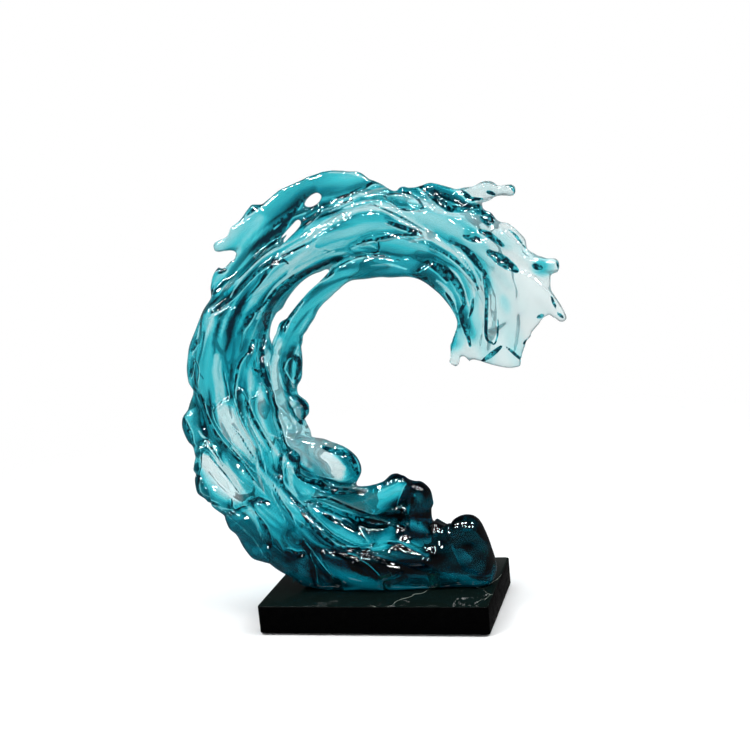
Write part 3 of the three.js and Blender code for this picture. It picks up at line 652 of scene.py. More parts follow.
CREASES = (
    Crease("fin_root_line_1", 1, ((161, 70), (171, 67), (178, 65)), 1.5),
    Crease("fin_root_line_2", 1, ((155, 63), (163, 59), (171, 57), (179, 57)), 1.5),
    Crease("fin_root_line_3", 1.4, ((148, 76), (156, 63), (165, 59), (175, 55), (194, 52)), 2),
    Crease("limb_top_line", 1, ((158, 51), (168, 49), (177, 53)), 1.5),
    Crease("limb_pool", 2, ((168, 50), (174, 52), (179, 50), (180, 45)), 1.5),
    Crease("slot_border", 2.6, ((148, 27), (157, 31), (167, 32), (179, 31), (193, 29)), 1),
    Crease("slot_end_shade", 2.2, ((186, 18), (191, 19), (195, 20)), 0.8),
    Crease("ribbon_shade", 1.8, ((155, 7), (162, 10), (169, 11), (174, 12)), 0.8),
    Crease("limb_spot", 2.4, ((139, 30), (144, 32)), 1.5),
    Crease("churn_root", 1.6, ((148, 75), (152, 67), (156, 63)), 1.5),
    Crease("rim_patch_1", 3, ((134, 87), (138, 82)), 1),
    Crease("rim_patch_2", 2.4, ((126, 87), (131, 82)), 1),
    Crease("left_edge_shade", 1.4, ((144, 87), (148, 86), (154, 88)), 0.5),
    Crease("tooth_shade", 2.2, ((158, 90), (160, 86)), 0.5),
    Crease("fin_shadow", 3.2, (
        (170, 74), (176, 75), (181, 74), (185, 80), (189, 85), (192, 90), (196, 91)), 0.8),
    Crease("slit_shadow", 2.2, ((180, 81), (183, 82), (187, 81), (191, 79)), 0.8),
    Crease("fin_edge_shade", 2, ((176, 104), (179, 104), (184, 105)), 0.5),
    Crease("slit_line", 1.2, ((190, 65), (193, 68), (197, 75), (200, 75)), 1),
    Crease("fin_edge_line_1", 1.8, ((200, 82), (204, 81), (210, 86), (213, 90), (217, 88)), 1.5),
    Crease("eyelet", 1, ((205, 37), (211, 41), (216, 42), (216, 32), (209, 33)), 1),
    Crease("leaf_edge", 1, ((199, 24), (207, 28), (217, 29), (226, 27)), 1),
    Crease("knob_ring", 2, ((135, -3), (142, -4), (144, -9), (136, -15), (129, -13)), 1),
    Crease("lens_dark", 2.2, ((31, 48), (27, 51), (23, 56)), 1.5),
    Crease("foot_black", 3, ((45, 62), (38, 69), (34, 77)), 1.5),
    Crease("limb_inner_line", 1.2, ((152, 44), (158, 37), (168, 36), (178, 35)), 1.5),
    Crease("limb_crease_high", 2.6, ((146, 27), (140, 24), (129, 15), (119, 6)), 3),
    Crease("limb_crease_low", 2.4, ((121, 8), (112, 6), (105, 8), (89, 9)), 3),
    Crease("limb_wedge", 2.2, ((155, 38), (149, 41), (146, 41)), 2),
    Crease("limb_arc", 1.4, ((140, 31), (134, 36), (125, 39), (120, 39)), 2),
    Crease("rim_bubble", 1, ((131, 86), (132, 80), (129, 75), (122, 80)), 1.5),
    Crease("limb_middle_line", 1, ((131, 51), (127, 48), (121, 46), (119, 49)), 1.5),
    Crease("limb_branch", 1.2, ((133, 26), (130, 19), (122, 11)), 1.5),
    Crease("rim_stripe_line", 2.4, ((121, 75), (114, 72), (107, 67), (97, 56), (88, 53)), 2.5),
    Crease("rim_stripe_edge", 1.2, ((120, 63), (112, 64), (103, 54), (95, 44)), 1.5),
    Crease("limb_stripe", 2, ((119, 29), (113, 27), (106, 24), (94, 22)), 2),
    Crease("window_right_line", 1, ((110, 47), (106, 41), (101, 39), (94, 38)), 1.5),
    Crease("window_left_line", 1.2, ((105, 59), (98, 53), (89, 47)), 1.5),
    Crease("low_window_line", 1.2, ((98, 99), (104, 84), (98, 77), (93, 73), (86, 72)), 1.5),
    Crease("low_window_edge", 1, ((104, 89), (107, 81), (103, 75), (97, 72)), 1.5),
    Crease("window_squiggle", 1.2, ((87, 83), (84, 87), (83, 78), (82, 74)), 1.5),
    Crease("window_pool", 3, ((83, 70), (81, 60), (78, 55)), 2.5),
    Crease("low_rim_pool", 3, ((79, 73), (75, 74), (72, 78), (69, 89)), 2.5),
    Crease("main_crease", 2.4, ((90, 8), (89, 18), (80, 33), (69, 38), (52, 47)), 3),
    Crease("lobe_crease", 3, ((92, 7), (84, 3), (80, 14), (74, 17), (60, 10), (42, 2)), 3),
    Crease("flow_line", 1.2, ((82, 39), (77, 43), (68, 52), (65, 57)), 1.5),
    Crease("lobe_rim", 2.4, ((79, -19), (71, -22), (62, -25), (54, -20), (49, -10)), 1),
    Crease("flame_crease", 1.6, ((66, 28), (59, 17), (43, 19), (36, 23), (27, 26)), 2),
    Crease("flame_pool", 4, ((50, 25), (43, 32), (32, 34)), 2.5),
    Crease("leaf_lens_low", 1, ((66, 34), (59, 40), (51, 46), (41, 53)), 1.5),
    Crease("leaf_lens_high", 1, ((65, 28), (59, 27), (53, 25), (46, 32), (38, 49)), 1.5),
    Crease("leaf_lens_slit", 1.6, ((58, 32), (54, 33), (50, 35)), 1.5),
    Crease("under_leaf_crease", 2.4, ((66, 42), (59, 48), (53, 53), (47, 57), (37, 55)), 2.5),
    Crease("foot_pool", 3.5, ((64, 81), (61, 81), (59, 76)), 2.5),
    Crease("foot_line_1", 1.6, ((61, 65), (57, 71), (49, 87)), 2),
    Crease("foot_line_2", 1.4, ((57, 75), (54, 88), (52, 100)), 2),
    Crease("fin_edge_line_2", 1.2, ((199, 72), (203, 75), (207, 77)), 1.5),
    Crease("upper_leaf_tip", 2.2, ((219, 59), (224, 56), (231, 54)), 2),
    Crease("upper_leaf_base", 1.6, ((231, 53), (223, 48), (217, 44), (210, 42)), 2),
    Crease("eye_low", 1.1, ((217, 80), (220, 74), (224, 70), (230, 75)), 1.5),
    Crease("eye_high", 1.1, ((230, 75), (223, 83), (217, 80)), 1.5),
    Crease("crown_line", 1.1, ((214, 73), (223, 64), (232, 57)), 1.5),
    Crease("inner_pool", 3.4, ((234, 23), (237, 32), (242, 30), (247, 25)), 2),
    Crease("spray_pool_1", 3.6, ((226, 90), (231, 85), (237, 81), (243, 92)), 2),
    Crease("spray_pool_2", 2.6, ((230, 90), (235, 88), (239, 88)), 2),
    Crease("spray_knob_pool", 5.6, ((245, 90), (248, 86)), 1),
    Crease("crest_fleck_1", 3, ((247, 76), (250, 77), (255, 77)), 1.5),
    Crease("crest_fleck_2", 3, ((244, 66), (249, 70)), 1.5),
    Crease("crest_lens", 4.6, ((253, 66), (258, 67), (263, 70)), 2),
    Crease("crest_stream_1", 3.2, ((241, 56), (247, 56), (257, 49)), 2),
    Crease("crest_stream_2", 1.6, ((235, 46), (244, 45), (254, 40), (259, 36)), 2),
    Crease("crest_stream_3", 4, ((237, 33), (242, 33), (248, 30), (254, 25), (259, 18)), 2),
    Crease("crest_stream_4", 2.8, ((259, 18), (261, 10), (270, 3), (278, -1)), 1.5),
    Crease("crest_strand", 2, ((256, 49), (262, 39), (270, 24), (278, 15), (282, 19)), 1.5),
    Crease("crest_fork", 1.6, ((260, 27), (263, 20), (265, 13)), 1.5),
    Crease("hem_1", 2.4, ((284, 24), (286, 14), (288, 4)), 1),
    Crease("hem_2", 1.5, ((285, 28), (288, 32), (293, 39)), 1),
    Crease("knob_edge", 2.2, ((18, -2), (20, 3), (24, 15), (27, 28)), 1.5),
    Crease("crest_edge", 1.2, ((253, 90), (256, 90), (260, 88)), 1),
    Crease("upper_tip_knob", 3.2, ((265, 84), (267, 88)), 0.5),
    Crease("lower_tip_line", 1.5, ((280, 80), (282, 83)), 0.5),
    Crease("falls_dark", 4, ((233, 17), (238, 17), (243, 14)), 1),
    Crease("falls_streak", 1.8, ((249, 16), (255, 11), (260, 6)), 1),
    Crease("falls_line", 1.2, ((251, 44), (255, 41), (259, 34)), 1),
    Crease("crest_right_line", 1.2, ((275, 82), (277, 81), (279, 81)), 0.5),
    Crease("crest_right_fleck", 1.8, ((279, 63), (279, 68)), 0.5),
    Crease("hem_fleck", 1.8, ((286, 43), (285, 47)), 0.5),
    Crease("strand_line", 0.9, ((273, 32), (278, 26), (282, 20)), 0.8),
    Crease("upper_tip_end", 1.8, ((268, 102), (271, 100)), 0.5),
    Crease("finger_end", 1.6, ((247, 120), (249, 118), (249, 113)), 0.5),
    Crease("finger_under", 1.4, ((240, 95), (242, 97), (243, 99)), 0.5),
    Crease("finger_root", 2.4, ((237, 97), (241, 94)), 1),
    Crease("finger_neck", 2, ((243, 106), (245, 107)), 1),
    Crease("rim_lump_pool", 3, ((114, 96), (110, 93), (106, 93)), 1),
    Crease("low_lump_pool", 2, ((98, 100), (94, 108), (91, 104), (88, 95)), 1),
    Crease("knob_line", 1.6, ((136, -3), (130, -7), (123, -10)), 1),
    Crease("low_knob_ring", 1.8, ((116, -7), (109, -9), (99, -12), (106, -19)), 1),
)

# Painted highlight streaks; the churn ones, darker, are painted shade in the folds.
GLEAMS = (
    Gleam("fin_root_1", 1.3, ((154, 64), (159, 66), (168, 66), (176, 63), (190, 59))),
    Gleam("fin_root_2", 1.2, ((160, 59), (168, 57), (176, 55), (184, 52))),
    Gleam("pale_band", 3.2, ((190, 54), (198, 60), (205, 65), (211, 69), (217, 69), (223, 62))),
    Gleam("fork_1", 2, ((176, 38), (183, 42), (189, 44), (193, 49))),
    Gleam("fork_2", 1.6, ((180, 41), (188, 40), (195, 39))),
    Gleam("slot_edge", 2, ((154, 34), (165, 37), (174, 37), (183, 36), (192, 36), (198, 37))),
    Gleam("limb_line", 1, ((160, 49), (166, 45), (171, 42))),
    Gleam("churn_left", 2, ((142, 74), (137, 73), (130, 76), (127, 68)), tint=0.84),
    Gleam("churn_middle", 2, ((143, 65), (139, 57), (135, 49), (130, 45)), tint=0.84),
    Gleam("churn_right", 1.6, ((145, 47), (137, 43), (132, 48)), tint=0.8),
    Gleam("churn", 1.4, ((146, 75), (150, 67), (153, 62))),
    Gleam("ribbon", 2.2, ((146, 12), (151, 13), (155, 13))),
    Gleam("inner_high", 3.5, ((140, 21), (136, 15), (128, 6)), tint=0.2),
    Gleam("crown_1", 1.4, ((206, 78), (214, 84), (218, 86))),
    Gleam("crown_2", 1.2, ((204, 71), (211, 75), (216, 76))),
    Gleam("fin_rim", 1.6, ((201, 104), (206, 101), (210, 95), (212, 91)), tint=0.25),
    Gleam("rim", 2, ((142, 84), (138, 83), (133, 85)), tint=0.2),
    Gleam("limb_pale", 5, ((136, 57), (134, 56), (128, 54), (120, 50)), tint=0.2),
    Gleam("crest_band", 2.2, ((220, 65), (228, 57), (237, 52), (245, 49), (252, 44))),
    Gleam("falls_1", 2.6, ((243, 21), (248, 19), (254, 14), (259, 8)), tint=0.12),
    Gleam("falls_2", 1.8, ((245, 36), (250, 33), (256, 26), (261, 20)), tint=0.08),
    Gleam("falls_3", 1.6, ((248, 42), (254, 37), (260, 29)), tint=0.06),
    Gleam("spray", 2.4, ((227, 88), (232, 81), (237, 79), (241, 82), (245, 82))),
    Gleam("crest_inside", 2, ((228, 45), (233, 51), (238, 53))),
    Gleam("strand", 1.6, ((242, 54), (249, 50), (255, 44), (260, 40))),
    Gleam("eyelet_core", 1.4, ((209, 37), (213, 38), (216, 35)), tint=0.25),
    Gleam("inner_bright", 1.5, ((213, 20), (222, 22), (230, 21)), tint=0.3),
    Gleam("inner_edge", 5, ((139, 7), (127, 2), (114, -2), (100, -3), (86, -7), (71, -8)), tint=0.2),
    Gleam("stripe", 1.6, ((110, 84), (105, 78), (99, 72), (93, 65), (89, 62))),
    Gleam("flow", 1.2, ((118, 39), (108, 30), (96, 29), (84, 40), (76, 50), (69, 59)), tint=0.25),
    Gleam("window_upper", 5.5, ((116, 54), (111, 48), (105, 44), (98, 40)), tint=0.03),
    Gleam("window_lower", 9, ((102, 87), (97, 84), (92, 81), (88, 79)), tint=0),
    Gleam("window_tail", 2, ((96, 36), (88, 45), (81, 53)), tint=0.15),
    Gleam("lobe", 6, ((83, -10), (71, -14), (58, -14)), tint=0.06),
    Gleam("fan", 3.5, ((82, 18), (77, 28), (71, 34)), tint=0.3),
    Gleam("flame_top", 1.6, ((71, 28), (62, 19), (52, 16), (42, 10), (31, -2), (21, -7)), tint=0.42),
    Gleam("cross", 1.2, ((105, 23), (102, 17), (97, 10)), tint=0.3),
    Gleam("main_low", 1.4, ((80, 39), (73, 47), (66, 50), (58, 49)), tint=0.36),
    Gleam("lens_edge", 1.2, ((65, 35), (59, 39), (51, 45), (44, 50)), tint=0.4),
    Gleam("heel_1", 1.2, ((87, 97), (81, 94), (75, 94), (70, 100), (66, 103)), tint=0.3),
    Gleam("heel_2", 1.6, ((82, 83), (77, 81), (72, 90)), tint=0.3),
    Gleam("rim_edge", 1.4, ((90, 108), (87, 95), (84, 88)), tint=0.25),
)


@dataclass
class WaveCasting:
    """The resin wave, modelled over the solid casting."""

    # The mesh and how it is smoothed
    voxel: float = 1.5 * MM
    first_rounds: int = 24
    flat_rounds: int = 40
    flat_span: Span = (18.0 * MM, 32.0 * MM)
    last_rounds: int = 6
    relax_gains: tuple[float, float] = (0.5, -0.52)
    ray_start: float = 0.2 * MM
    ray_reach: float = 200.0 * MM
    open_thickness: float = 10.0 * MM
    thickness_rounds: int = 8
    # The relief of the skin
    seat_level: float = 23.5 * MM
    seat_fade: float = 6.0 * MM
    full_thickness: float = 26.0 * MM
    thin_lift: float = 0.25
    swell_height: float = 2.0 * MM
    swell_length: float = 90.0 * MM
    swell_width: float = 30.0 * MM
    leaf_gap: float = 0.9
    leaf_sink: float = 0.5
    leaf_cover: Span = (2.2, 1.4)
    furrow_span: Span = (0.0, 0.8)
    rim_lift: float = 0.3
    rim_power: float = 0.7
    dimple: float = 5.0 * MM
    dimple_tint: float = 0.1
    dimple_span: Span = (1.15, 0.55)
    front_span: Span = (0.2, -0.3)
    rear_span: Span = (0.1, 0.6)
    # The tint, from 0, clear, to 1, black
    body_tint: float = 0.68
    crest_tint: float = 0.1
    crest_slant: float = 0.4
    crest_turns: Span = (261.0, 283.0)
    tip_turns: Span = (270.0, 280.0)
    last_turn: float = 300.0
    patch_depth: float = 0.16
    patch_length: float = 60.0 * MM
    patch_width: float = 16.0 * MM
    low_depth: float = 0.2
    low_levels: Span = (84.0 * MM, 52.0 * MM)
    knob_tint: float = 0.97
    knob_turns: Span = (36.0, 24.0)
    knob_across: Span = (-50.0, -10.0)
    knob_last_turn: float = 330.0
    leaf_span: Span = (-0.15, 0.45)
    dye_front: float = -20.0 * MM
    dye_slant: Place = (0.2, 0.14)
    seat_tint: float = 0.87
    seat_levels: Span = (62.0 * MM, 36.0 * MM)
    rear_share: float = 0.55
    foot_turns: Span = (76.0, 60.0)
    tint_rounds: int = 2
    streak_depth: float = 0.34
    streak_length: float = 120.0 * MM
    streak_width: float = 10.0 * MM
    streak_tints: Span = (0.1, 0.3)
    vein_length: float = 100.0 * MM
    vein_width: float = 5.0 * MM
    vein_span: Span = (0.12, 0.4)
    vein_tints: Span = (0.15, 0.4)
    shade_depth: float = 0.2
    shade_offset: float = 2.6 * MM
    shade_span: Span = (-1.4, 0.8)
    shade_tints: Span = (0.1, 0.4)
    highlight_offset: float = 1.3 * MM
    front_border: float = 0.5
    points: np.ndarray = field(init=False)
    edges: np.ndarray = field(init=False)

    def build(self, node: bpy.types.Object) -> bpy.types.Object:
        """Models the flowing skin over a copy of the solid.

        Args:
            node: The solid casting.

        Returns:
            The finished piece.
        """
        piece = merged_copy(node, "wave_resin")
        apply_modifier(piece, "REMESH", mode="VOXEL", voxel_size=self.voxel)
        self.read(piece)
        self.points = self.relaxed(self.points, self.first_rounds)
        self.write(piece)
        thickness = self.thickness(piece)
        flat = self.softened(self.points, self.flat_rounds)
        flat = flat + self.softened(self.points - flat, self.flat_rounds)
        thick = rise(thickness, *self.flat_span)[:, None]
        self.points = self.points * (1 - thick) + flat * thick
        self.points = self.nudged()
        self.write(piece)
        normals = self.normals(piece)
        lift = self.relief(normals) * np.clip(thickness / self.full_thickness, self.thin_lift, 1.0)
        seat = rise(self.points[:, 2], self.seat_level, self.seat_level + self.seat_fade)
        self.points = self.points + normals * (lift * seat)[:, None]
        self.points = self.relaxed(self.points, self.last_rounds)
        self.points[:, 2] = np.maximum(self.points[:, 2], self.seat_level)
        self.write(piece)
        make_active(piece)
        bpy.ops.object.shade_smooth()
        return piece

    def dress(self, piece: bpy.types.Object, finish: ResinFinish) -> None:
        """Stores the tint and the strokes at each point and gives the piece its material.

        Args:
            piece: The finished piece.
            finish: The resin's finish.
        """
        places = self.elevation()
        outwards = self.outwards()
        front = self.front(self.normals(piece))
        tint = self.veined(self.toned(front), front)
        shade = smoothstep(self.creases(places - self.shade_offset * outwards), *self.shade_span) * front
        tint += self.shade_depth * shade * smoothstep(tint, *self.shade_tints)
        gleams = np.stack([line.nearness(places) for line in GLEAMS])
        strokes = {
            # crease: painted shade along the creases, on the front only.
            "crease": self.creases(places),
            # edge: the creases moved outwards, for the painted highlight line beside them.
            "edge": self.creases(places + self.highlight_offset * outwards),
            "gleam": np.max(gleams, axis=0),
        }
        for name, values in strokes.items():
            self.store(piece, name, np.where(front > self.front_border, values, Stroke.far))
        gleam_tints = np.array([line.tint for line in GLEAMS])
        self.store(piece, "gleam_tint", gleam_tints[np.argmax(gleams, axis=0)])
        self.store(piece, "tint", np.clip(tint, 0, 1))
        piece.data.materials.clear()
        piece.data.materials.append(finish.material())

    def toned(self, front: np.ndarray) -> np.ndarray:
        """Returns each point's tint before its streaks and veins.

        Args:
            front: How far each point faces the front, from 0 to 1.

        Returns:
            The tints.
        """
        turn, across = self.band()
        level = self.points[:, 2]
        clear = smoothstep(turn + self.crest_slant * across, *self.crest_turns)
        clear = np.maximum(clear, smoothstep(turn, *self.tip_turns)) * (turn < self.last_turn)
        tint = self.body_tint - (self.body_tint - self.crest_tint) * clear
        tint += self.patch_depth * self.clouds(self.patch_length, self.patch_width) * clear
        for zone in PALE_ZONES:
            tint -= zone.depth * zone.share(turn, across)
        # Darker towards the foot, and near black at the knob.
        low = smoothstep(level, *self.low_levels)
        tint += self.low_depth * low
        knob = smoothstep(turn, *self.knob_turns) * smoothstep(across, *self.knob_across)
        knob = np.maximum(knob, turn > self.knob_last_turn)
        tint += (self.knob_tint - tint) * knob
        slanted = self.elevation() + np.outer(self.points[:, 1] - self.dye_front, self.dye_slant)
        nearest = np.stack([leaf.nearness(slanted) for leaf in LEAVES])
        leaf_tint = np.array([leaf.tint for leaf in LEAVES])[np.argmax(nearest, axis=0)]
        tint += (leaf_tint - tint) * rise(np.max(nearest, axis=0), *self.leaf_span)
        # Darker still near the seat on the plinth.
        tint = np.maximum(tint, self.seat_tint * smoothstep(level, *self.seat_levels))
        deep = np.maximum(np.maximum(low, knob), smoothstep(turn, *self.foot_turns))
        tint *= 1 - (1 - self.rear_share) * (1 - front) * (1 - deep)
        return self.softened(tint, self.tint_rounds)

    def veined(self, tint: np.ndarray, front: np.ndarray) -> np.ndarray:
        """Adds the flow's streaks and veins to the tints.

        Args:
            tint: Each point's tint.
            front: How far each point faces the front, from 0 to 1.

        Returns:
            The new tints.
        """
        streaks = self.clouds(self.streak_length, self.streak_width)
        tint = tint + self.streak_depth * streaks * smoothstep(tint, *self.streak_tints)
        veins = self.clouds(self.vein_length, self.vein_width)
        veins = np.sign(veins) * smoothstep(np.abs(veins), *self.vein_span)
        depth = VEINED_LIMB.depth * VEINED_LIMB.share(*self.band())
        return tint + depth * veins * front * smoothstep(tint, *self.vein_tints)

    def creases(self, places: np.ndarray) -> np.ndarray:
        """Returns how near points are to the nearest crease."""
        return np.max([line.nearness(places) for line in CREASES], axis=0)

    def store(self, piece: bpy.types.Object, name: str, values: np.ndarray) -> None:
        """Keeps a value at each of the mesh's points."""
        layer = piece.data.attributes.new(name, "FLOAT", "POINT")
        layer.data.foreach_set("value", values.astype(np.float32))

    def read(self, piece: bpy.types.Object) -> None:
        """Takes the mesh's points and edges as arrays."""
        mesh = piece.data
        points = np.empty(len(mesh.vertices) * 3)
        mesh.vertices.foreach_get("co", points)
        edges = np.empty(len(mesh.edges) * 2, dtype=np.int64)
        mesh.edges.foreach_get("vertices", edges)
        self.points = points.reshape(-1, 3)
        self.edges = edges.reshape(-1, 2)

    def write(self, piece: bpy.types.Object) -> None:
        """Puts moved points back into the mesh."""
        piece.data.vertices.foreach_set("co", self.points.ravel())
        piece.data.update()

    def elevation(self) -> np.ndarray:
        """Returns the points' X and Z, as the front shows them."""
        return self.points[:, [0, 2]]

    def outwards(self) -> np.ndarray:
        """Returns each point's direction away from the curl's centre, in X and Z."""
        out = self.elevation() - CURL_CENTRE
        return out / np.linalg.norm(out, axis=1)[:, None]

    def band(self) -> tuple[np.ndarray, np.ndarray]:
        """Returns each point's turn in degrees and its hundredths across the band."""
        out = self.elevation() - CURL_CENTRE
        turn = np.degrees(np.mod(CURL_START - np.arctan2(out[:, 1], out[:, 0]), 2 * math.pi))
        return turn, (np.hypot(out[:, 0], out[:, 1]) - CURL_INNER_RADIUS) / HUNDREDTH

    def nudged(self) -> np.ndarray:
        """Returns the points after the local shifts of the outline."""
        turn, across = self.band()
        shift = sum(nudge.shift(turn, across) for nudge in NUDGES) * MM
        moved = self.points.copy()
        moved[:, [0, 2]] += self.outwards() * shift[:, None]
        return moved

    def normals(self, piece: bpy.types.Object) -> np.ndarray:
        """Returns the normals at the mesh's points."""
        found = np.empty(len(piece.data.vertices) * 3)
        piece.data.vertices.foreach_get("normal", found)
        return found.reshape(-1, 3)

    def front(self, normals: np.ndarray) -> np.ndarray:
        """Returns how far each point faces the front, from 0 to 1."""
        return rise(normals[:, 1], *self.front_span)

    def mean_of_neighbours(self, values: np.ndarray) -> np.ndarray:
        """Returns, for each point, the mean of a value over its neighbours."""
        near = np.concatenate([self.edges[:, 0], self.edges[:, 1]])
        other = np.concatenate([self.edges[:, 1], self.edges[:, 0]])
        count = np.maximum(np.bincount(near, minlength=len(values)), 1)
        columns = values.reshape(len(values), -1).T
        sums = [np.bincount(near, weights=column[other], minlength=len(values)) for column in columns]
        return (np.stack(sums, 1) / count[:, None]).reshape(values.shape)

    def softened(self, values: np.ndarray, rounds: int) -> np.ndarray:
        """Evens out a value between neighbours."""
        for _ in range(rounds):
            values = (values + self.mean_of_neighbours(values)) / 2
        return values

    def relaxed(self, points: np.ndarray, rounds: int) -> np.ndarray:
        """Smooths points without shrinking the form."""
        for _ in range(rounds):
            for gain in self.relax_gains:
                points = points + gain * (self.mean_of_neighbours(points) - points)
        return points

    def thickness(self, piece: bpy.types.Object) -> np.ndarray:
        """Returns how much resin lies behind each point, softened."""
        tree = BVHTree.FromObject(piece, bpy.context.evaluated_depsgraph_get())
        found = np.empty(len(piece.data.vertices))
        for i, vertex in enumerate(piece.data.vertices):
            inward = -vertex.normal
            depth = tree.ray_cast(vertex.co + inward * self.ray_start, inward, self.ray_reach)[3]
            found[i] = self.open_thickness if depth is None else depth
        return self.softened(found, self.thickness_rounds)

    def relief(self, normals: np.ndarray) -> np.ndarray:
        """Returns how far each point stands out along its normal."""
        places = self.elevation()
        nearest = np.stack([leaf.nearness(places) for leaf in LEAVES])
        order = np.argsort(-nearest, axis=0)
        first, second = 1 - np.take_along_axis(nearest, order[:2], 0)
        heights = np.array([leaf.relief for leaf in LEAVES])[order[0]] * MM
        tints = np.array([leaf.tint for leaf in LEAVES])[order[0]]
        gap = rise(second - first, 0, self.leaf_gap)
        leaves = heights * (gap * (2 - gap) - self.leaf_sink)
        front = self.front(normals)
        shown = front * rise(first, *self.leaf_cover)
        swells = self.swell_height * self.clouds(self.swell_length, self.swell_width)
        lift = swells * (1 - shown) + leaves * shown
        for line in CREASES:
            lift -= line.relief * MM * smoothstep(line.nearness(places), *self.furrow_span) * front
        lift *= self.rim_lift + (1 - self.rim_lift) * np.abs(normals[:, 1]) ** self.rim_power
        window = (tints < self.dimple_tint) * rise(first, *self.dimple_span)
        return lift - self.dimple * window * rise(normals[:, 1], *self.rear_span)

    def clouds(self, length: float, width: float) -> np.ndarray:
        """Returns a noise that is drawn out along the flow.

        Args:
            length: The length of its cells along the flow, in metres.
            width: Their width and depth.

        Returns:
            A value from -1 to 1 at each point.
        """
        turn, across = self.band()
        along = np.radians(turn) * CURL_MIDDLE_RADIUS
        aside = across * HUNDREDTH - CURL_BAND / 2
        cells = np.stack([along / length, aside / width, self.points[:, 1] / width], axis=1)
        return np.array([noise.noise(Vector(cell)) for cell in cells])


@dataclass
class Plinth:
    """The stone slab: its top is polished, and its sides are honed and painted darker, without veins, as
    shade.
    """

    top_slope: float = 0.9
    edge_angle: float = math.radians(35.0)

    def build(self, node: bpy.types.Object) -> bpy.types.Object:
        """Copies the slab, so that its top and sides can have a finish each.

        Args:
            node: The solid slab.

        Returns:
            The finished piece.
        """
        piece = merged_copy(node, "plinth_slab")
        bpy.ops.object.shade_smooth_by_angle(angle=self.edge_angle)
        return piece

    def dress(self, piece: bpy.types.Object, polished: StoneFinish, honed: StoneFinish) -> None:
        """Polishes the top, and hones the rest and paints it darker as shade."""
        piece.data.materials.clear()
        piece.data.materials.append(honed.material())
        piece.data.materials.append(polished.material())
        for face in piece.data.polygons:
            face.material_index = int(face.normal.z > self.top_slope)


@dataclass(frozen=True)
class SoftLamp:
    """A square soft lamp, with its place and size in metres and its power in watts."""

    name: str
    place: Point
    size: float
    power: float


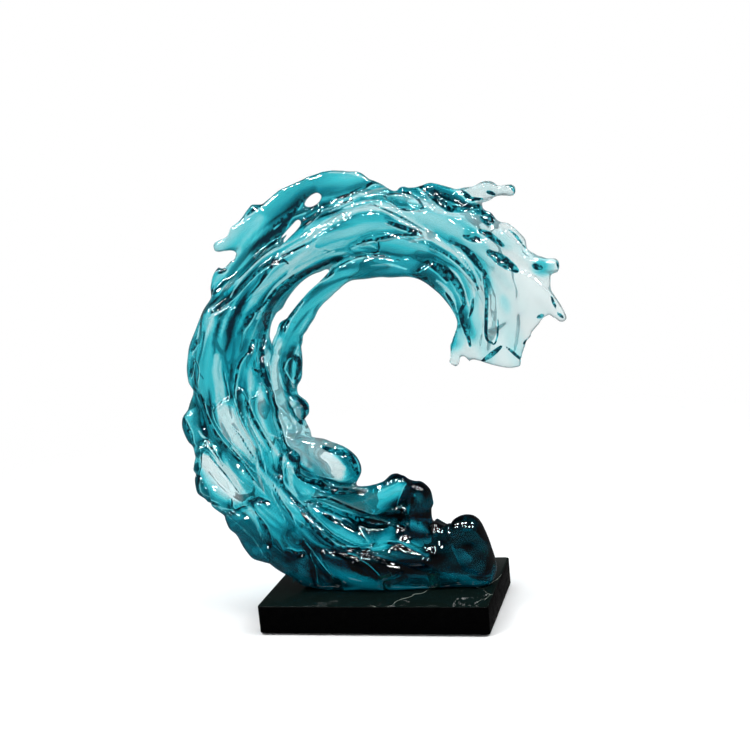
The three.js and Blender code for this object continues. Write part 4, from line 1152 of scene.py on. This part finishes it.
@dataclass
class Studio:
    """The camera, floor, lamps and background, with lengths in metres."""

    camera_place: Point = (0.258, -0.946, 0.375)
    yaw: float = math.radians(15.0)
    pitch: float = math.radians(10.7)
    roll: float = math.radians(5.4)
    focal_share: float = 1300.0 / 750.0
    sensor: float = 36.0
    floor_radius: float = 1.6
    floor_sides: int = 96
    floor_span: Span = (0.8, 0.12)
    lamp_aim: Point = (0.0, 0.0, 0.15)
    soft_lamps: tuple[SoftLamp, ...] = (
        SoftLamp("top_lamp", (0.0, 0.0, 2.5), 2.4, 52.0),
        SoftLamp("key_lamp", (-0.7, -0.8, 1.2), 0.5, 9.0),
        SoftLamp("fill_lamp", (0.9, -0.3, 1.1), 0.5, 6.0),
    )
    spot_rows: int = 2
    spot_columns: int = 5
    spot_spacing: float = 1.0
    spot_level: float = 1.8
    spot_power: float = 90.0
    spot_size: float = 0.12
    mirrored: Colour = (0.1, 0.1, 0.1)
    room: Stops = (
        (0.50, (1.0, 1.0, 1.0)),
        (0.64, (0.85, 0.87, 0.88)),
        (0.76, (0.3, 0.32, 0.33)),
        (0.95, (0.14, 0.15, 0.16)),
    )

    def build(self) -> None:
        """Makes the camera, the floor, the lamps and the background."""
        self.camera()
        self.floor()
        for soft in self.soft_lamps:
            self.soft_lamp(soft)
        self.spot_lamps()
        self.background()
        bpy.context.scene.view_settings.view_transform = "Standard"

    def camera(self) -> None:
        """Stands the camera where the photograph was taken from."""
        forward = Vector((
            -math.sin(self.yaw) * math.cos(self.pitch),
            math.cos(self.yaw) * math.cos(self.pitch),
            -math.sin(self.pitch),
        ))
        right = forward.cross(Vector((0, 0, 1))).normalized()
        down = forward.cross(right)
        cosine, sine = math.cos(self.roll), math.sin(self.roll)
        turned_right = cosine * right + sine * down
        turned_down = -sine * right + cosine * down
        data = bpy.data.cameras.new("camera")
        data.sensor_width = self.sensor
        data.lens = self.focal_share * self.sensor
        data.dof.use_dof = False
        camera = bpy.data.objects.new("camera", data)
        bpy.context.scene.collection.objects.link(camera)
        turn = Matrix((turned_right, -turned_down, -forward)).transposed().to_4x4()
        camera.matrix_world = Matrix.Translation(self.camera_place) @ turn
        bpy.context.scene.camera = camera

    def floor(self) -> None:
        """Lays a round pale floor that fades out into the background."""
        deselect_all()
        bpy.ops.mesh.primitive_circle_add(
            vertices=self.floor_sides, radius=self.floor_radius, fill_type="NGON")
        floor = bpy.context.object
        floor.name = "floor"
        floor.visible_glossy = False
        shader = Shader("floor", {
            "Base Color": (0.92, 0.92, 0.92, 1.0), "Roughness": 0.9, "Specular IOR Level": 0.0,
        })
        place = shader.node("ShaderNodeTexCoord")
        length = shader.node("ShaderNodeVectorMath", operation="LENGTH")
        shader.link(place.outputs["Object"], length.inputs[0])
        cover = shader.spread(length.outputs["Value"], *self.floor_span)
        shader.link(cover, shader.surface.inputs["Alpha"])
        floor.data.materials.append(shader.material)

    def hang(self, data: bpy.types.Light, place: Point) -> bpy.types.Object:
        """Hangs a lamp that isn't seen through the resin."""
        lamp = bpy.data.objects.new(data.name, data)
        bpy.context.scene.collection.objects.link(lamp)
        lamp.location = place
        lamp.visible_transmission = False
        return lamp

    def soft_lamp(self, soft: SoftLamp) -> None:
        """Hangs a soft lamp without a mirror image and aims it at the wave."""
        data = bpy.data.lights.new(soft.name, "AREA")
        data.shape = "SQUARE"
        data.size = soft.size
        data.energy = soft.power
        lamp = self.hang(data, soft.place)
        lamp.visible_glossy = False
        aim = Vector(self.lamp_aim) - lamp.location
        lamp.rotation_euler = aim.to_track_quat("-Z", "Y").to_euler()

    def spot_lamps(self) -> None:
        """Hangs rows of small lamps that give the resin its points of light."""
        for row in range(self.spot_rows):
            for column in range(self.spot_columns):
                data = bpy.data.lights.new("spot_lamp", "POINT")
                data.energy = self.spot_power
                data.shadow_soft_size = self.spot_size
                lamp = self.hang(data, (
                    self.spot_spacing * (column - (self.spot_columns - 1) / 2),
                    self.spot_spacing * (row - self.spot_rows + 0.5),
                    self.spot_level,
                ))
                lamp.visible_diffuse = False

    def background(self) -> None:
        """Makes a white background under a dim ceiling, dimmer still in reflections."""
        world = bpy.data.worlds.new("background")
        bpy.context.scene.world = world
        world.use_nodes = True
        sheet = Sheet(world.node_tree)
        sky = sheet.tree.nodes["Background"]
        place = sheet.node("ShaderNodeTexCoord")
        parts = sheet.node("ShaderNodeSeparateXYZ")
        sheet.link(place.outputs["Generated"], parts.inputs[0])
        height = sheet.node("ShaderNodeMapRange", {"From Min": -1.0, "From Max": 1.0})
        sheet.link(parts.outputs["Z"], height.inputs["Value"])
        room = sheet.ramp(height.outputs["Result"], self.room)
        path = sheet.node("ShaderNodeLightPath")
        reflected = sheet.node("ShaderNodeMath", operation="SUBTRACT", use_clamp=True)
        sheet.link(path.outputs["Is Glossy Ray"], reflected.inputs[0])
        sheet.link(path.outputs["Is Transmission Ray"], reflected.inputs[1])
        dim = sheet.node("ShaderNodeMix", data_type="RGBA", blend_type="MULTIPLY")
        dim.inputs[7].default_value = (*self.mirrored, 1.0)
        sheet.link(reflected.outputs[0], dim.inputs["Factor"])
        sheet.link(room, dim.inputs[6])
        seen = sheet.node("ShaderNodeMix", data_type="RGBA")
        seen.inputs[7].default_value = (1.0, 1.0, 1.0, 1.0)
        sheet.link(path.outputs["Is Camera Ray"], seen.inputs["Factor"])
        sheet.link(dim.outputs[2], seen.inputs[6])
        sheet.link(seen.outputs[2], sky.inputs["Color"])
        sky.inputs["Strength"].default_value = 1.0


def put(piece: bpy.types.Object, node: str) -> None:
    """Stands a finished piece in for its solid.

    Args:
        piece: The finished piece.
        node: The name of the solid that it replaces.
    """
    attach(piece, "root")
    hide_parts(node)
    LOG.info("%s: %d faces", piece.name, len(piece.data.polygons))


def main(frame: dict) -> None:
    """Builds the sculpture's pieces and the studio round them.
    """
    logging.basicConfig(level=logging.INFO, format="%(message)s")
    nodes = frame["nodes"]
    casting = WaveCasting()
    wave = casting.build(nodes["wave_casting"])
    casting.dress(wave, ResinFinish())
    put(wave, "wave_casting")
    plinth = Plinth()
    slab = plinth.build(nodes["plinth"])
    plinth.dress(slab, POLISHED_STONE, SHADED_HONED_STONE)
    put(slab, "plinth")
    steel = STEEL.material()
    finishes = {
        "fixing_screw": steel,
        "screw_washer": steel,
        "threaded_insert": BRASS.material(),
        "foot_": RubberFinish().material(),
    }
    for name, node in nodes.items():
        for start, material in finishes.items():
            if name.startswith(start):
                node.material_slots[0].material = material
                LOG.info("%s: %s", name, material.name)
    Studio().build()


if __name__ == "__main__":
    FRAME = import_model()
    main(FRAME)
